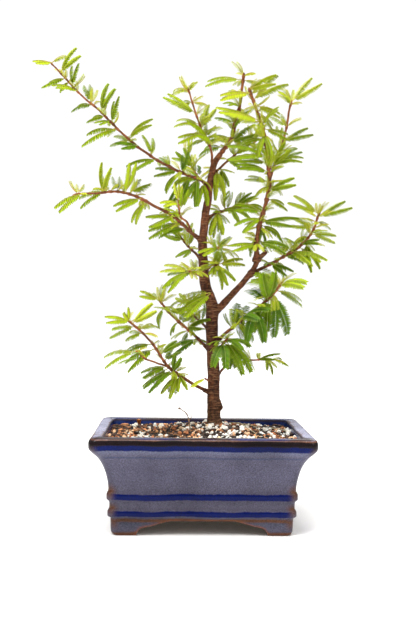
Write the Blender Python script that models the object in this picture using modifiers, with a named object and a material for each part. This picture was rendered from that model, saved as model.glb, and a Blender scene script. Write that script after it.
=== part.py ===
# Powder puff bonsai: a young tree with feathery leaves in pairs, in a glazed tray on four bracket feet.
# Every size here is in millimetres and degrees, and MM turns a length into Blender's metres.
# +Z is up and -Y is the front. The origin is on the plane that the feet stand on, under the middle of
# the tray, which is also the middle of the whole plant's footprint.

import math
import random

import bmesh
import bpy
from mathutils import Matrix, Vector, noise

MM = 0.001
GAP = 0.3
FLAT_ENOUGH = math.radians(1)
SLIVER = 0.02
SHARP_FROM = math.radians(40)

# Tray
TRAY_LENGTH = 160
TRAY_WIDTH = 120
TRAY_HEIGHT = 71
CORNER_RADIUS = 6
CORNER_STEPS = 3
TRAY_FLOOR = 15
# Height above the feet, and how far the glazed outside lies in from the edge of the rim: the round
# foot, the apron, two thick ribs, a wall that hollows inwards, and the rolled rim.
OUTSIDE = [(0, 17), (2.5, 15.4), (10.5, 14.9), (12.6, 14.7), (14, 12.9), (17.6, 12.9), (19.4, 13.9),
           (24.2, 13.7), (26, 12.1), (30, 12.1), (32, 13.1), (38, 12.7), (45, 11.2), (51, 9), (56, 6),
           (60, 2.4), (62.6, 0.4), (67.5, 0), (70, 1.1)]
RIM_TOP = [(71, 2.8), (71, 8.6), (70, 9.8)]
INSIDE = [(60, 12), (48, 17.5), (TRAY_FLOOR + 4, 20), (TRAY_FLOOR, 23)]
# The cut between two feet, as distances from the tray's middle and heights, for the long side.
APRON_HEIGHT = 10.8
FOOT_LENGTH = 18
FOOT_CURVE = [(0, -2), (0, 0), (1.4, 3), (4, 5.6), (11, 7.2), (19, 9.6), (24, APRON_HEIGHT)]
DRAIN_RADIUS = 7
DRAIN_OFFSET = 36

# Plastic screens over the drain holes
SCREEN_SIDE = 24
SCREEN_THICKNESS = 1.2
SCREEN_CELLS = 3
SCREEN_BAR = 1.8

# Growing mix
SOIL_EDGE = 66
SOIL_MOUND = 6
MOUND_SPREAD = 34
GRIT_SIZE = 8
GRIT_RELIEF = 2.4
SOIL_CELLS = (23, 17)

# Tree
TRUNK_FOOT = (10, 8)
TRUNK_FOOT_Z = 44
HOLE_RADIUS = 6.2
TRUNK = [(10, 8, 44), (10, 8, 62), (10, 8, 72), (9, 8, 91), (9, 8, 105), (8, 8, 126), (7, 8, 147),
         (7, 8, 163), (2, 6, 177), (0, 5, 192), (-1, 4, 208), (0, 4, 222), (1, 4, 234), (3, 4, 245),
         (4, 5, 256), (6, 6, 267), (8, 7, 273), (12, 8, 279)]
TRUNK_RADII = [(44, 5.6), (70, 5.7), (79, 4.9), (99, 4.4), (142, 4.3), (157, 4.5), (172, 3.9), (203, 3.2),
               (217, 2.9), (240, 2.6), (263, 2.1), (279, 1.9)]
LIMB = [(7, 8, 155), (17, 4, 166), (23, 0, 173), (29, -4, 180), (37, -8, 191), (40, -10, 197), (46, -13, 204)]
LIMB_RADII = (2.8, 1.5)
KNOB = (13, 7, 87)
KNOB_RADII = (3.8, 3.6, 4.6)
COLLAR = 3.5
COLLAR_SWELL = 1.25
RING_SPACING = 12

# Leaves
BLADE = 0.6
SMALL_LEAF = 20.8
# The pairs of leaflets of a blade: where the cut behind them, or the blade, ends, where they stand
# out furthest, and how far of the blade's half width.
LEAFLETS = [(0.46, 0.5, 1.0), (1.0, 0.8, 0.78)]
SMALL_LEAFLETS = [(1.0, 0.5, 0.78)]
CUT_DEPTH = 0.42
# A blade's half width is so many millimetres and such a share of the leaf's length. The oldest leaves
# lie open, and on all the others the leaflets are half folded up along the rib.
FOLDED_HALF_WIDTH = (0.9, 0.06)
OPEN_HALF_WIDTH = (1.2, 0.1)
OPEN_LEAVES = ("tuft_front_low", "tuft_front_middle", "shoot_lower_right")
SPREAD = (10, 22)
ARCH = (25, 70)
# Half the stalk's width at its foot and at its fork, and how far the web in the fork reaches.
STALK_HALVES = (0.35, 0.6)
WEB = 0.06
# Where the two blades would cross, their inner edges are kept so far from the leaf's middle, and a
# leaflet that then stands out by less than this share of its reach is left out.
BLADES_APART = 0.5
LEAST_TOOTH = 0.4
GOLDEN_TURN = 137.5
LONGEST_LEAF = 36
SEED = 7
TRIES = 36

# Each leafy shoot is one node. Its first twig grows from the trunk or the limb, and any other twig
# from the first. A twig is its route, its radius at the foot and at the tip, how long its leaves
# usually are, and its leaves. A leaf is how far along the twig it stands in hundredths, its course as
# seen from the front, in degrees from +X towards +Z, and how far it reaches as seen from there. Where
# a twig has only a count, its leaves follow the usual spiral.
SHOOTS = {
    "tuft_front_low": [
        ([(8, 8, 122), (12, 0, 130), (18, -8, 138)], (1.2, 0.9), 27,
         [(96, 284, 24), (90, -54, 28), (98, -44, 31), (80, 256, 17), (92, -15, 15)])],
    "tuft_front_middle": [
        ([(6, 7, 167), (7, -2, 170), (6, -9, 172)], (1.1, 0.9), 27, [(98, 194, 26), (88, 216, 28)])],
    "tuft_right_middle": [
        ([(-1, 4, 204), (6, 1, 206), (12, -4, 206)], (1.1, 0.9), 20,
         [(98, -62, 17), (90, 200, 15), (80, 60, 15)])],
    "tuft_front_high": [
        ([(0, 5, 188), (6, -3, 193), (10, -10, 193)], (1.1, 0.9), 21,
         [(98, 10, 22), (92, 88, 16), (96, -50, 18), (86, 245, 8), (80, -62, 20)])],
    "tuft_trunk_low": [
        ([(9, 8, 103), (5, 0, 106), (2, -5, 108)], (1.0, 0.8), 14, [(96, 205, 13)])],
    "shoot_upper_left": [
        ([(4, 5, 253), (-4, 0, 258), (-14, -3, 261), (-33, -9, 269), (-50, -15, 279), (-65, -21, 291),
          (-78, -27, 303), (-90, -31, 312), (-101, -35, 323), (-108, -38, 330), (-111, -39, 333)],
         (1.5, 0.7), 20,
         [(99, 193, 11), (93, 47, 20), (90, 187, 17), (88, 210, 9), (82, 172, 17), (85, 80, 14), (74, 105, 17),
          (72, 180, 17), (67, 68, 21), (64, 176, 14), (59, 80, 17), (61, 205, 10), (56, 194, 28), (49, 35, 22),
          (47, 172, 17), (43, 188, 14), (35, 98, 14), (31, 200, 23), (24, 122, 12), (17, 86, 13), (19, 178, 20),
          (10, 196, 19)])],
    "shoot_middle_left": [
        ([(-1, 4, 212), (-9, -2, 217), (-17, -6, 224), (-26, -10, 231), (-36, -14, 235), (-50, -18, 242),
          (-65, -22, 245), (-80, -26, 243), (-92, -29, 242), (-95, -30, 241)], (1.8, 0.8), 21,
         [(96, 90, 9), (93, 214, 24), (79, 200, 22), (81, 81, 19), (75, 152, 14), (70, 100, 14), (66, 70, 21),
          (62, 45, 17), (57, 68, 15), (53, 201, 22), (50, 238, 20), (35, 58, 19), (27, 192, 22), (30, 178, 14),
          (20, 197, 28), (14, 188, 23)]),
        ([(-9, -2, 217), (-13, -12, 224), (-18, -18, 228), (-19, -22, 233), (-20, -26, 239)], (1.1, 0.7), 16,
         [(98, 95, 14), (90, 185, 13), (80, 70, 15), (60, 160, 12)])],
    "shoot_lower_left": [
        ([(9, 8, 95), (-4, 0, 102), (-16, -9, 110), (-26, -17, 118), (-32, -22, 127), (-39, -27, 137),
          (-49, -33, 147), (-55, -36, 152)], (1.8, 0.8), 20,
         [(99, 100, 8), (97, 172, 18), (95, 38, 20), (92, 195, 20), (88, 15, 13), (84, 190, 14), (72, 196, 24),
          (68, 212, 28), (62, 38, 18), (56, 42, 14), (50, 198, 22), (46, 209, 25), (43, 75, 12), (40, 258, 17),
          (37, 285, 11)]),
        ([(-26, -17, 118), (-41, -34, 124), (-48, -42, 130)], (1.0, 0.7), 20, [(98, 198, 27), (70, 175, 14)])],
    "shoot_lower_left_back": [
        ([(8, 8, 126), (-6, 18, 140), (-17, 26, 149), (-27, 33, 158), (-34, 38, 167)], (1.6, 1.0), 21,
         [(98, 160, 19), (94, 110, 11), (88, 250, 17), (82, -4, 21), (62, 28, 10), (60, 235, 12), (44, 22, 14),
          (42, 245, 13), (26, 206, 25)])],
    "shoot_inner_left": [
        ([(1, 6, 184), (-5, -8, 186), (-11, -16, 188)], (1.1, 0.8), 23,
         [(98, 172, 22), (85, 196, 20), (95, 216, 25), (70, 182, 14)])],
    "shoot_top_left": [
        ([(6, 6, 267), (4, -4, 280), (0, -12, 286), (-3, -16, 291), (-6, -20, 298), (-11, -26, 311),
          (-14, -29, 319)], (1.2, 0.7), 19,
         [(98, 180, 13), (95, 55, 8), (84, 168, 9), (70, 153, 26), (60, 172, 20), (56, 64, 20), (48, 192, 19),
          (42, 70, 15), (38, 186, 13), (30, 150, 18)])],
    "shoot_leader": [
        ([(12, 8, 279), (18, 9, 287), (21, 9, 294), (23, 9, 305), (26, 9, 314), (27, 9, 323),
          (29, 8, 340)], (1.9, 1.2), 22,
         [(92, 180, 29), (97, 4, 8), (74, 158, 13), (59, 176, 12), (40, 140, 14), (35, 45, 15), (24, 178, 20),
          (14, 31, 30), (8, 176, 20)])],
    "shoot_top_back": [
        ([(5, 6, 261), (12, 13, 269), (20, 19, 277), (30, 26, 286), (42, 34, 294)], (1.3, 0.8), 21, 5)],
    "shoot_right_rise": [
        ([(39, -10, 196), (39, -10, 206), (39, -10, 213), (41, -11, 225), (44, -12, 235), (46, -13, 244),
          (47, -14, 253), (47, -15, 261), (45, -16, 276), (42, -17, 292), (37, -18, 306), (31, -20, 322)],
         (2.0, 1.2), 22,
         [(99, 18, 19), (97, 190, 24), (93, 40, 33), (80, 168, 33), (77, 50, 17), (76, -10, 21), (73, 268, 18),
          (70, 190, 20), (60, 176, 32), (56, 168, 26), (51, 170, 27), (54, 30, 9), (45, 160, 17), (44, 215, 12),
          (41, 20, 20), (36, -15, 17), (28, 165, 22), (25, 205, 20), (23, 0, 27), (21, -27, 22), (20, 285, 15),
          (11, -12, 25), (10, 190, 21), (13, 245, 12)]),
        ([(47, -14, 251), (50, -2, 263), (54, 6, 273), (57, 12, 279), (63, 20, 299), (66, 24, 316),
          (68, 26, 324)], (1.4, 1.0), 22,
         [(98, 44, 30), (95, 140, 12), (74, 120, 16), (60, 25, 26), (48, 40, 14), (38, 135, 10), (32, 32, 25),
          (26, 58, 18)])],
    "shoot_right_reach": [
        ([(34, -7, 187), (45, 0, 192), (54, 6, 197), (63, 12, 202), (73, 18, 208), (83, 24, 218), (88, 28, 226),
          (91, 31, 235), (95, 34, 243)], (1.7, 0.9), 21,
         [(92, 148, 25), (88, 25, 30), (84, -8, 13), (78, 160, 19), (72, -8, 22), (68, 206, 13), (59, 12, 12),
          (56, -45, 16), (46, 150, 15), (38, -8, 19), (30, -52, 15), (22, -25, 17)])],
    "shoot_right_back": [
        ([(1, 4, 227), (6, 10, 232), (21, 24, 239), (35, 36, 243)], (1.5, 0.9), 21, 6)],
    "shoot_lower_right": [
        ([(8, 8, 133), (16, 2, 141), (27, -6, 151), (40, -14, 162), (49, -20, 170), (56, -26, 180)],
         (1.7, 0.9), 26,
         [(97, 2, 16), (90, -22, 23), (86, 283, 33), (80, 256, 25), (76, 92, 20), (72, 132, 16), (66, -48, 15),
          (55, -62, 19), (45, 28, 14), (30, 62, 20)])],
    "shoot_lower_right_back": [
        ([(9, 8, 105), (19, 18, 116), (38, 30, 120), (58, 42, 120)], (1.3, 0.7), 20,
         [(98, -15, 14), (88, -60, 13), (78, 15, 14), (66, 160, 12)])],
    "shoot_back_low": [
        ([(7, 8, 140), (2, 22, 147), (-6, 40, 155), (-10, 56, 166)], (1.4, 0.8), 22, 4)],
    "shoot_back_middle": [
        ([(0, 5, 195), (-6, 16, 203), (-14, 30, 212), (-22, 42, 224)], (1.4, 0.8), 22, 5)],
    "shoot_back_high": [
        ([(3, 4, 244), (0, 14, 256), (-8, 26, 268), (-14, 38, 284)], (1.3, 0.8), 21, 5)],
}

ON_LIMB = ("shoot_right_rise", "shoot_right_reach")

# A dead twig that stands in the mix, in front of the trunk
DRY_TWIG = [(-9, -12, 58), (-9, -12, 72), (-10, -12, 78), (-12, -12, 83), (-16, -12, 86)]
DRY_TWIG_RADII = (0.8, 0.6)


def clear_scene():
    for obj in list(bpy.data.objects):
        bpy.data.objects.remove(obj)


def new_collection(name):
    collection = bpy.data.collections.new(name)
    bpy.context.scene.collection.children.link(collection)
    return collection


def material(name, colour, roughness, metallic=0.0):
    made = bpy.data.materials.new(name)
    made.use_nodes = True
    shader = made.node_tree.nodes["Principled BSDF"]
    shader.inputs["Base Color"].default_value = (*colour, 1)
    shader.inputs["Roughness"].default_value = roughness
    shader.inputs["Metallic"].default_value = metallic
    return made


def add_object(name, mesh, collection, finish=None):
    obj = bpy.data.objects.new(name, mesh)
    collection.objects.link(obj)
    if finish:
        mesh.materials.clear()
        mesh.materials.append(finish)
    return obj


def mesh_from(name, bm):
    """A Blender mesh in metres from a bmesh in millimetres."""
    bmesh.ops.recalc_face_normals(bm, faces=bm.faces)
    bmesh.ops.scale(bm, vec=(MM, MM, MM), verts=bm.verts)
    mesh = bpy.data.meshes.new(name)
    bm.to_mesh(mesh)
    bm.free()
    return mesh


def frozen(obj, tidy=False):
    """The object with its modifiers applied, in triangles. A curve's caps are welded to it.
    Where it is tidied, slivers are welded shut and triangles that lie in one plane are joined first."""
    bpy.context.view_layer.update()
    graph = bpy.context.evaluated_depsgraph_get()
    name, collection = obj.name, obj.users_collection[0]
    mesh = bpy.data.meshes.new_from_object(obj.evaluated_get(graph))
    bm = bmesh.new()
    bm.from_mesh(mesh)
    if obj.type == "CURVE":
        bmesh.ops.remove_doubles(bm, verts=bm.verts, dist=0.001 * MM)
    if tidy:
        bmesh.ops.remove_doubles(bm, verts=bm.verts, dist=SLIVER * MM)
        bmesh.ops.dissolve_limit(bm, angle_limit=FLAT_ENOUGH, verts=bm.verts, edges=bm.edges)
        bmesh.ops.dissolve_verts(bm, verts=[v for v in bm.verts if len(v.link_edges) == 2])
    bmesh.ops.triangulate(bm, faces=bm.faces)
    bm.to_mesh(mesh)
    bm.free()
    made = add_object(name, mesh, collection)
    made.matrix_world = obj.matrix_world
    bpy.data.objects.remove(obj)
    made.name = name
    return made


def smooth(mesh):
    mesh.shade_smooth()
    mesh.set_sharp_from_angle(angle=SHARP_FROM)


def boolean(obj, operation, others, solver="EXACT"):
    """A Boolean modifier that takes a whole collection."""
    modifier = obj.modifiers.new(operation.lower(), "BOOLEAN")
    modifier.operation = operation
    modifier.operand_type = "COLLECTION"
    modifier.collection = others
    modifier.solver = solver
    return modifier


def cutters(name):
    collection = new_collection(name)
    collection.hide_render = True
    return collection


def hide_cutters(collection):
    for obj in collection.objects:
        obj.hide_render = True
        obj.display_type = "WIRE"


def fused(body, others):
    """One body from an object and a collection of shapes sunk into it. The shapes are removed."""
    boolean(body, "UNION", others, "MANIFOLD")
    made = frozen(body, tidy=True)
    for obj in list(others.objects):
        bpy.data.objects.remove(obj)
    bpy.data.collections.remove(others)
    return made


def rounded_rectangle(half_x, half_y, radius, z):
    """Points round a rectangle with round corners, at one height."""
    points = []
    for quarter, (sx, sy) in enumerate([(1, 1), (-1, 1), (-1, -1), (1, -1)]):
        for step in range(CORNER_STEPS + 1):
            angle = math.radians(90 * (quarter + step / CORNER_STEPS))
            points.append((sx * (half_x - radius) + radius * math.cos(angle),
                           sy * (half_y - radius) + radius * math.sin(angle), z))
    return points


def loft(sections):
    """A closed bmesh skinned over rings that have the same number of points, with both ends filled."""
    bm = bmesh.new()
    rings = [[bm.verts.new(point) for point in section] for section in sections]
    for low, high in zip(rings, rings[1:]):
        for i in range(len(low)):
            j = (i + 1) % len(low)
            bm.faces.new((low[i], low[j], high[j], high[i]))
    bm.faces.new(rings[0])
    bm.faces.new(rings[-1])
    return bm


def box(name, size, centre, collection):
    bm = bmesh.new()
    bmesh.ops.create_cube(bm, size=1)
    bmesh.ops.scale(bm, vec=size, verts=bm.verts)
    bmesh.ops.translate(bm, vec=centre, verts=bm.verts)
    return add_object(name, mesh_from(name, bm), collection)


def cylinder(name, radius, low, high, centre, collection, sides=24):
    bm = bmesh.new()
    bmesh.ops.create_cone(bm, cap_ends=True, segments=sides, radius1=radius, radius2=radius, depth=high - low)
    bmesh.ops.translate(bm, vec=(*centre, (low + high) / 2), verts=bm.verts)
    return add_object(name, mesh_from(name, bm), collection)


# Glazed tray

def tray_section(z, inset, gap=0.0):
    radius = max(CORNER_RADIUS - 0.15 * inset, 2.5)
    return rounded_rectangle(TRAY_LENGTH / 2 - inset - gap, TRAY_WIDTH / 2 - inset - gap, radius, z)


def foot_cutter(name, half_length, depth, turned, collection):
    """What is cut away between two feet: a flat outline with a curved bracket at each end, extruded."""
    side = [(half_length - dx, z) for dx, z in FOOT_CURVE]
    outline = side + [(-x, z) for x, z in reversed(side)]
    data = bpy.data.curves.new(name, "CURVE")
    data.dimensions = "2D"
    data.fill_mode = "BOTH"
    data.extrude = depth * MM
    spline = data.splines.new("POLY")
    spline.points.add(len(outline) - 1)
    for point, (x, z) in zip(spline.points, outline):
        point.co = (x * MM, z * MM, 0, 1)
    spline.use_cyclic_u = True
    cutter = add_object(name, data, collection)
    upright = Matrix.Rotation(math.radians(90), 4, "X")
    cutter.matrix_world = (Matrix.Rotation(math.radians(90), 4, "Z") @ upright) if turned else upright
    return frozen(cutter)


def make_tray(parts, glaze):
    sections = [tray_section(z, inset) for z, inset in OUTSIDE + RIM_TOP + INSIDE]
    tray = add_object("tray", mesh_from("tray", loft(sections)), parts, glaze)
    smooth(tray.data)
    cuts = cutters("tray_cutters")
    foot_inset = OUTSIDE[0][1]
    foot_cutter("cut_front_to_back", TRAY_LENGTH / 2 - foot_inset - FOOT_LENGTH + 2, TRAY_WIDTH, False, cuts)
    foot_cutter("cut_side_to_side", TRAY_WIDTH / 2 - foot_inset - FOOT_LENGTH + 2, TRAY_LENGTH, True, cuts)
    for name, side in (("drain_left_cut", -1), ("drain_right_cut", 1)):
        cylinder(name, DRAIN_RADIUS, 0, TRAY_FLOOR + 5, (side * DRAIN_OFFSET, 0), cuts)
    hide_cutters(cuts)
    boolean(tray, "DIFFERENCE", cuts)


# Screens over the drain holes

def make_screen(name, side, parts, plastic):
    low = TRAY_FLOOR + GAP
    middle = low + SCREEN_THICKNESS / 2
    screen = box(name, (SCREEN_SIDE, SCREEN_SIDE, SCREEN_THICKNESS), (side * DRAIN_OFFSET, 0, middle), parts)
    screen.data.materials.append(plastic)
    cuts = cutters(name + "_cutters")
    pitch = (SCREEN_SIDE - SCREEN_BAR) / SCREEN_CELLS
    hole = pitch - SCREEN_BAR
    for i in range(SCREEN_CELLS):
        for j in range(SCREEN_CELLS):
            x = side * DRAIN_OFFSET + (i - (SCREEN_CELLS - 1) / 2) * pitch
            y = (j - (SCREEN_CELLS - 1) / 2) * pitch
            box(f"{name}_cut_{i}{j}", (hole, hole, 3 * SCREEN_THICKNESS), (x, y, middle), cuts)
    hide_cutters(cuts)
    boolean(screen, "DIFFERENCE", cuts)


# Growing mix

def soil_height(x, y):
    """The mix stands highest at the trunk, and its coarse grit lies in rounded lumps."""
    away = math.dist((x, y), TRUNK_FOOT)
    mound = SOIL_MOUND * math.exp(-((away / MOUND_SPREAD) ** 2))
    nearest = noise.voronoi(Vector((x, y, 0)) / GRIT_SIZE)[0][0]
    return SOIL_EDGE + mound + GRIT_RELIEF * (0.45 - nearest)


def make_soil(parts, mix):
    inside = [(z, inset) for z, inset in reversed(INSIDE)] + [(TRAY_HEIGHT + 10, INSIDE[0][1] - 4)]
    sections = [tray_section(z + (GAP if z == TRAY_FLOOR else 0), inset, GAP) for z, inset in inside]
    soil = add_object("soil", mesh_from("soil", loft(sections)), parts, mix)
    ground = cutters("soil_top")
    bm = bmesh.new()
    bmesh.ops.create_grid(bm, x_segments=SOIL_CELLS[0], y_segments=SOIL_CELLS[1], size=0.5)
    bmesh.ops.scale(bm, vec=(TRAY_LENGTH, TRAY_WIDTH, 1), verts=bm.verts)
    for vert in bm.verts:
        vert.co.z = soil_height(vert.co.x, vert.co.y)
    skirt = bmesh.ops.extrude_face_region(bm, geom=bm.faces[:])["geom"]
    for vert in (v for v in skirt if isinstance(v, bmesh.types.BMVert)):
        vert.co.z = 0
    add_object("ground", mesh_from("ground", bm), ground)
    hide_cutters(ground)
    boolean(soil, "INTERSECT", ground, "MANIFOLD")
    holes = cutters("soil_cutters")
    cylinder("trunk_hole", HOLE_RADIUS, TRUNK_FOOT_Z - GAP, TRAY_HEIGHT + 20, TRUNK_FOOT, holes, 16)
    foot, low = DRY_TWIG[0][:2], DRY_TWIG[0][2] - GAP
    cylinder("twig_hole", DRY_TWIG_RADII[0] + GAP, low, TRAY_HEIGHT + 20, foot, holes, 8)
    seat = (SCREEN_SIDE + 2 * GAP, SCREEN_SIDE + 2 * GAP, 2 * (SCREEN_THICKNESS + 2 * GAP))
    for name, side in (("screen_left_seat", -1), ("screen_right_seat", 1)):
        box(name, seat, (side * DRAIN_OFFSET, 0, TRAY_FLOOR), holes)
    hide_cutters(holes)
    boolean(soil, "DIFFERENCE", holes, "MANIFOLD")


# Wood

def smooth_route(route, spacing=1.0):
    """Points about a millimetre apart on a smooth curve through the route's own points."""
    knots = [Vector(p) for p in route]
    ends = [2 * knots[0] - knots[1]] + knots + [2 * knots[-1] - knots[-2]]
    points = []
    for a, b, c, d in zip(ends, ends[1:], ends[2:], ends[3:]):
        steps = max(1, round((c - b).length / spacing))
        for step in range(steps):
            t = step / steps
            points.append(0.5 * (2 * b + (c - a) * t + (2 * a - 5 * b + 4 * c - d) * t * t
                                 + (3 * b - a - 3 * c + d) * t ** 3))
    return points + [knots[-1]]


def taper(points, radii):
    """The radius at each point, from the foot's to the tip's."""
    last = len(points) - 1
    return [radii[0] + (radii[1] - radii[0]) * i / last for i in range(len(points))]


def trunk_radius(z):
    for (low, r_low), (high, r_high) in zip(TRUNK_RADII, TRUNK_RADII[1:]):
        if z <= high:
            return r_low + (r_high - r_low) * max(0.0, (z - low) / (high - low))
    return TRUNK_RADII[-1][1]


def ring_places(points, every=RING_SPACING):
    """Which of a stem's points get a ring: the first two, the last, and some at even distances between."""
    between = len(points) - 2
    rings = max(1, round(between / every))
    return [0] + [1 + round(i * between / rings) for i in range(rings + 1) if between or not i]


def tube(name, points, radii, collection, resolution=1, every=RING_SPACING):
    """A tapered tube with flat ends through the points that get a ring, as a mesh."""
    picked = ring_places(points, every)
    data = bpy.data.curves.new(name, "CURVE")
    data.dimensions = "3D"
    data.bevel_depth = MM
    data.bevel_resolution = resolution
    data.use_fill_caps = True
    spline = data.splines.new("POLY")
    spline.points.add(len(picked) - 1)
    for point, i in zip(spline.points, picked):
        point.co = (*(points[i] * MM), 1)
        point.radius = radii[i]
    made = frozen(add_object(name, data, collection))
    smooth(made.data)
    return made


def collar(name):
    """The foot of a shoot, the end of the short collar that the trunk carries for it, and its course."""
    points = smooth_route(SHOOTS[name][0][0])
    if name == "shoot_leader":
        trunk = smooth_route(TRUNK)
        return points, 0, (trunk[-1] - trunk[-2]).normalized()
    end = round((LIMB_RADII[0] if name in ON_LIMB else trunk_radius(points[0].z)) + COLLAR)
    return points, end, (points[end] - points[0]).normalized()


def make_trunk(parts, bark):
    points = smooth_route(TRUNK)[::-1]
    trunk = tube("trunk", points, [trunk_radius(p.z) for p in points], parts, resolution=3, every=11)
    grown = new_collection("trunk_parts")
    limb = smooth_route(LIMB)
    tube("limb", limb, taper(limb, LIMB_RADII), grown, resolution=2, every=9)
    bm = bmesh.new()
    bmesh.ops.create_uvsphere(bm, u_segments=8, v_segments=6, radius=1)
    bmesh.ops.scale(bm, vec=KNOB_RADII, verts=bm.verts)
    bmesh.ops.translate(bm, vec=KNOB, verts=bm.verts)
    add_object("knob", mesh_from("knob", bm), grown)
    for name, shoot in SHOOTS.items():
        points, end, course = collar(name)
        if end:
            radius = shoot[0][1][0]
            tube("collar_" + name, [points[0], points[end]], [COLLAR_SWELL * radius, radius], grown)
    trunk = fused(trunk, grown)
    smooth(trunk.data)
    trunk.data.materials.append(bark)


# Leaves: a leaf has a short stalk that forks into two arched blades, each cut into forward teeth

def leaf_frame(along, out, tilt):
    """The leaf's own axes: along it, to its left, and out of its upper face, which tilts outwards."""
    face = Vector((0, 0, 1)) * math.cos(tilt) + out * math.sin(tilt)
    face = (face - face.dot(along) * along).normalized()
    return along, face.cross(along), face


def leaf_ribs(foot, frame, length, rng, steps=12):
    """The two ribs of a leaf as points, which spread from its stalk and arch over."""
    along, left, face = frame
    spread = math.radians(rng.uniform(*SPREAD))
    arch = math.radians(rng.uniform(*ARCH))
    fork = foot + 0.12 * length * (along + 0.4 * face)
    ribs = []
    for side in (1, -1):
        reach = 0.92 * length * rng.uniform(0.88, 1.0)
        points = [fork.copy()]
        for step in range(steps):
            t = (step + 0.5) / steps
            turn, dip = side * spread * (1.1 - 0.8 * t), arch * (t - 0.42)
            course = math.cos(dip) * (math.cos(turn) * along + math.sin(turn) * left) - math.sin(dip) * face
            points.append(points[-1] + reach / steps * course)
        ribs.append(points)
    return ribs


def set_leaf(leaf, usual, attempt, rng):
    """The course, outward side and length of a leaf that is set by eye. Tries swing it in depth."""
    share, angle, reach = leaf
    angle = math.radians(angle)
    length = max(1.05 * reach, min(usual * rng.uniform(0.9, 1.1), 1.5 * reach))
    depth = min(math.acos(reach / length) + math.radians(8) * (attempt // 2), math.radians(62))
    depth *= 1 if (attempt + int(share)) % 2 else -1
    length = min(reach / math.cos(depth), LONGEST_LEAF)
    along = Vector((math.cos(angle) * math.cos(depth), -math.sin(depth), math.sin(angle) * math.cos(depth)))
    out = Vector((0.3 * along.x, -1, 0)) if attempt % 4 < 2 else Vector((along.x, -0.4, 0))
    return along, out.normalized(), length


def spiral_leaf(heading, usual, first, index, share, attempt, rng):
    """The course, outward side and length of a leaf that follows the spiral. Tries swing it round."""
    swing = 29 * ((attempt + 1) // 2) * (1 if attempt % 2 else -1)
    turn = math.radians(first + GOLDEN_TURN * index + swing)
    level = heading.cross(Vector((0, 0, 1))).normalized()
    out = math.cos(turn) * level + math.sin(turn) * level.cross(heading)
    lean = math.radians(58 - 24 * share)
    along = (math.cos(lean) * heading + math.sin(lean) * out + 0.1 * Vector((0, 0, 1))).normalized()
    outward = Vector((out.x, out.y, 0)) if out.xy.length > 0.1 else heading
    return along, outward.normalized(), usual * rng.uniform(0.85, 1.15) * (1.1 - 0.3 * share)


def clear_of(ribs, others, room):
    """Whether the ribs keep that much room from every other point, less each one's own radius."""
    for rib in ribs:
        for at, point in enumerate(rib[2:]):
            reach = room * min(1, 0.4 + 0.15 * at)
            for other, radius in others:
                if (point - other).length < reach + radius:
                    return False
    return True


def grow_leaves():
    """Every leaf as (shoot, foot, frame, ribs, length). A leaf is turned until it is clear of the rest."""
    paths = {name: [smooth_route(twig[0]) for twig in shoot] for name, shoot in SHOOTS.items()}
    wood = [(p, trunk_radius(p.z)) for p in smooth_route(TRUNK, 4)] + [(p, 2.3) for p in smooth_route(LIMB, 4)]
    twigs = {name: [(p, 1.3) for path in found for p in path[::3]] for name, found in paths.items()}
    blades = {name: [] for name in SHOOTS}
    leaves, missed = [], []
    for index, (name, shoot) in enumerate(SHOOTS.items()):
        rng = random.Random(SEED + index)
        around = wood + [p for other in SHOOTS if other != name for p in twigs[other]]
        for path, (route, radii, usual, wanted) in zip(paths[name], shoot):
            first = rng.uniform(0, 360)
            spiral = isinstance(wanted, int)
            for i in range(wanted if spiral else len(wanted)):
                share = 0.35 + 0.65 * (i + 0.5) / wanted if spiral else wanted[i][0] / 100
                at = min(round(share * (len(path) - 1)), len(path) - 2)
                heading = (path[at + 1] - path[at]).normalized()
                for attempt in range(TRIES):
                    if spiral:
                        along, out, length = spiral_leaf(heading, usual, first, i, share, attempt, rng)
                    else:
                        along, out, length = set_leaf(wanted[i], usual, attempt, rng)
                    frame = leaf_frame(along, out, math.radians(rng.uniform(30, 65)))
                    ribs = leaf_ribs(path[at], frame, length, rng)
                    near = [p for other in blades if other != name for p in blades[other]]
                    if (clear_of(ribs, around, 3.2) and clear_of(ribs, near, 3.2)
                            and clear_of(ribs, blades[name], 1.2) and clear_of(ribs, twigs[name], 0.3)):
                        half = 0.14 * length
                        blades[name] += [(p, half) for rib in ribs for p in rib[3::2]]
                        leaves.append((name, path[at], frame, ribs, length))
                        break
                else:
                    missed.append((name, round(100 * share)))
    print(len(leaves), "leaves placed, without room:", missed)
    return leaves


def rib_place(rib, t):
    """The point at a share of the rib's length, and the direction there."""
    last = len(rib) - 1
    at = min(int(t * last), last - 1)
    step = rib[at + 1] - rib[at]
    return rib[at] + (t * last - at) * step, step.normalized()


def heart(point, lines):
    """The nearest place to a point on the straight stretches that run down the middle of the stems."""
    found = []
    for line in lines:
        for a, b in zip(line, line[1:]):
            share = max(0.0, min(1.0, (point - a).dot(b - a) / (b - a).length_squared))
            found.append(a.lerp(b, share))
    return min(found, key=lambda place: (place - point).length)


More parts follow.
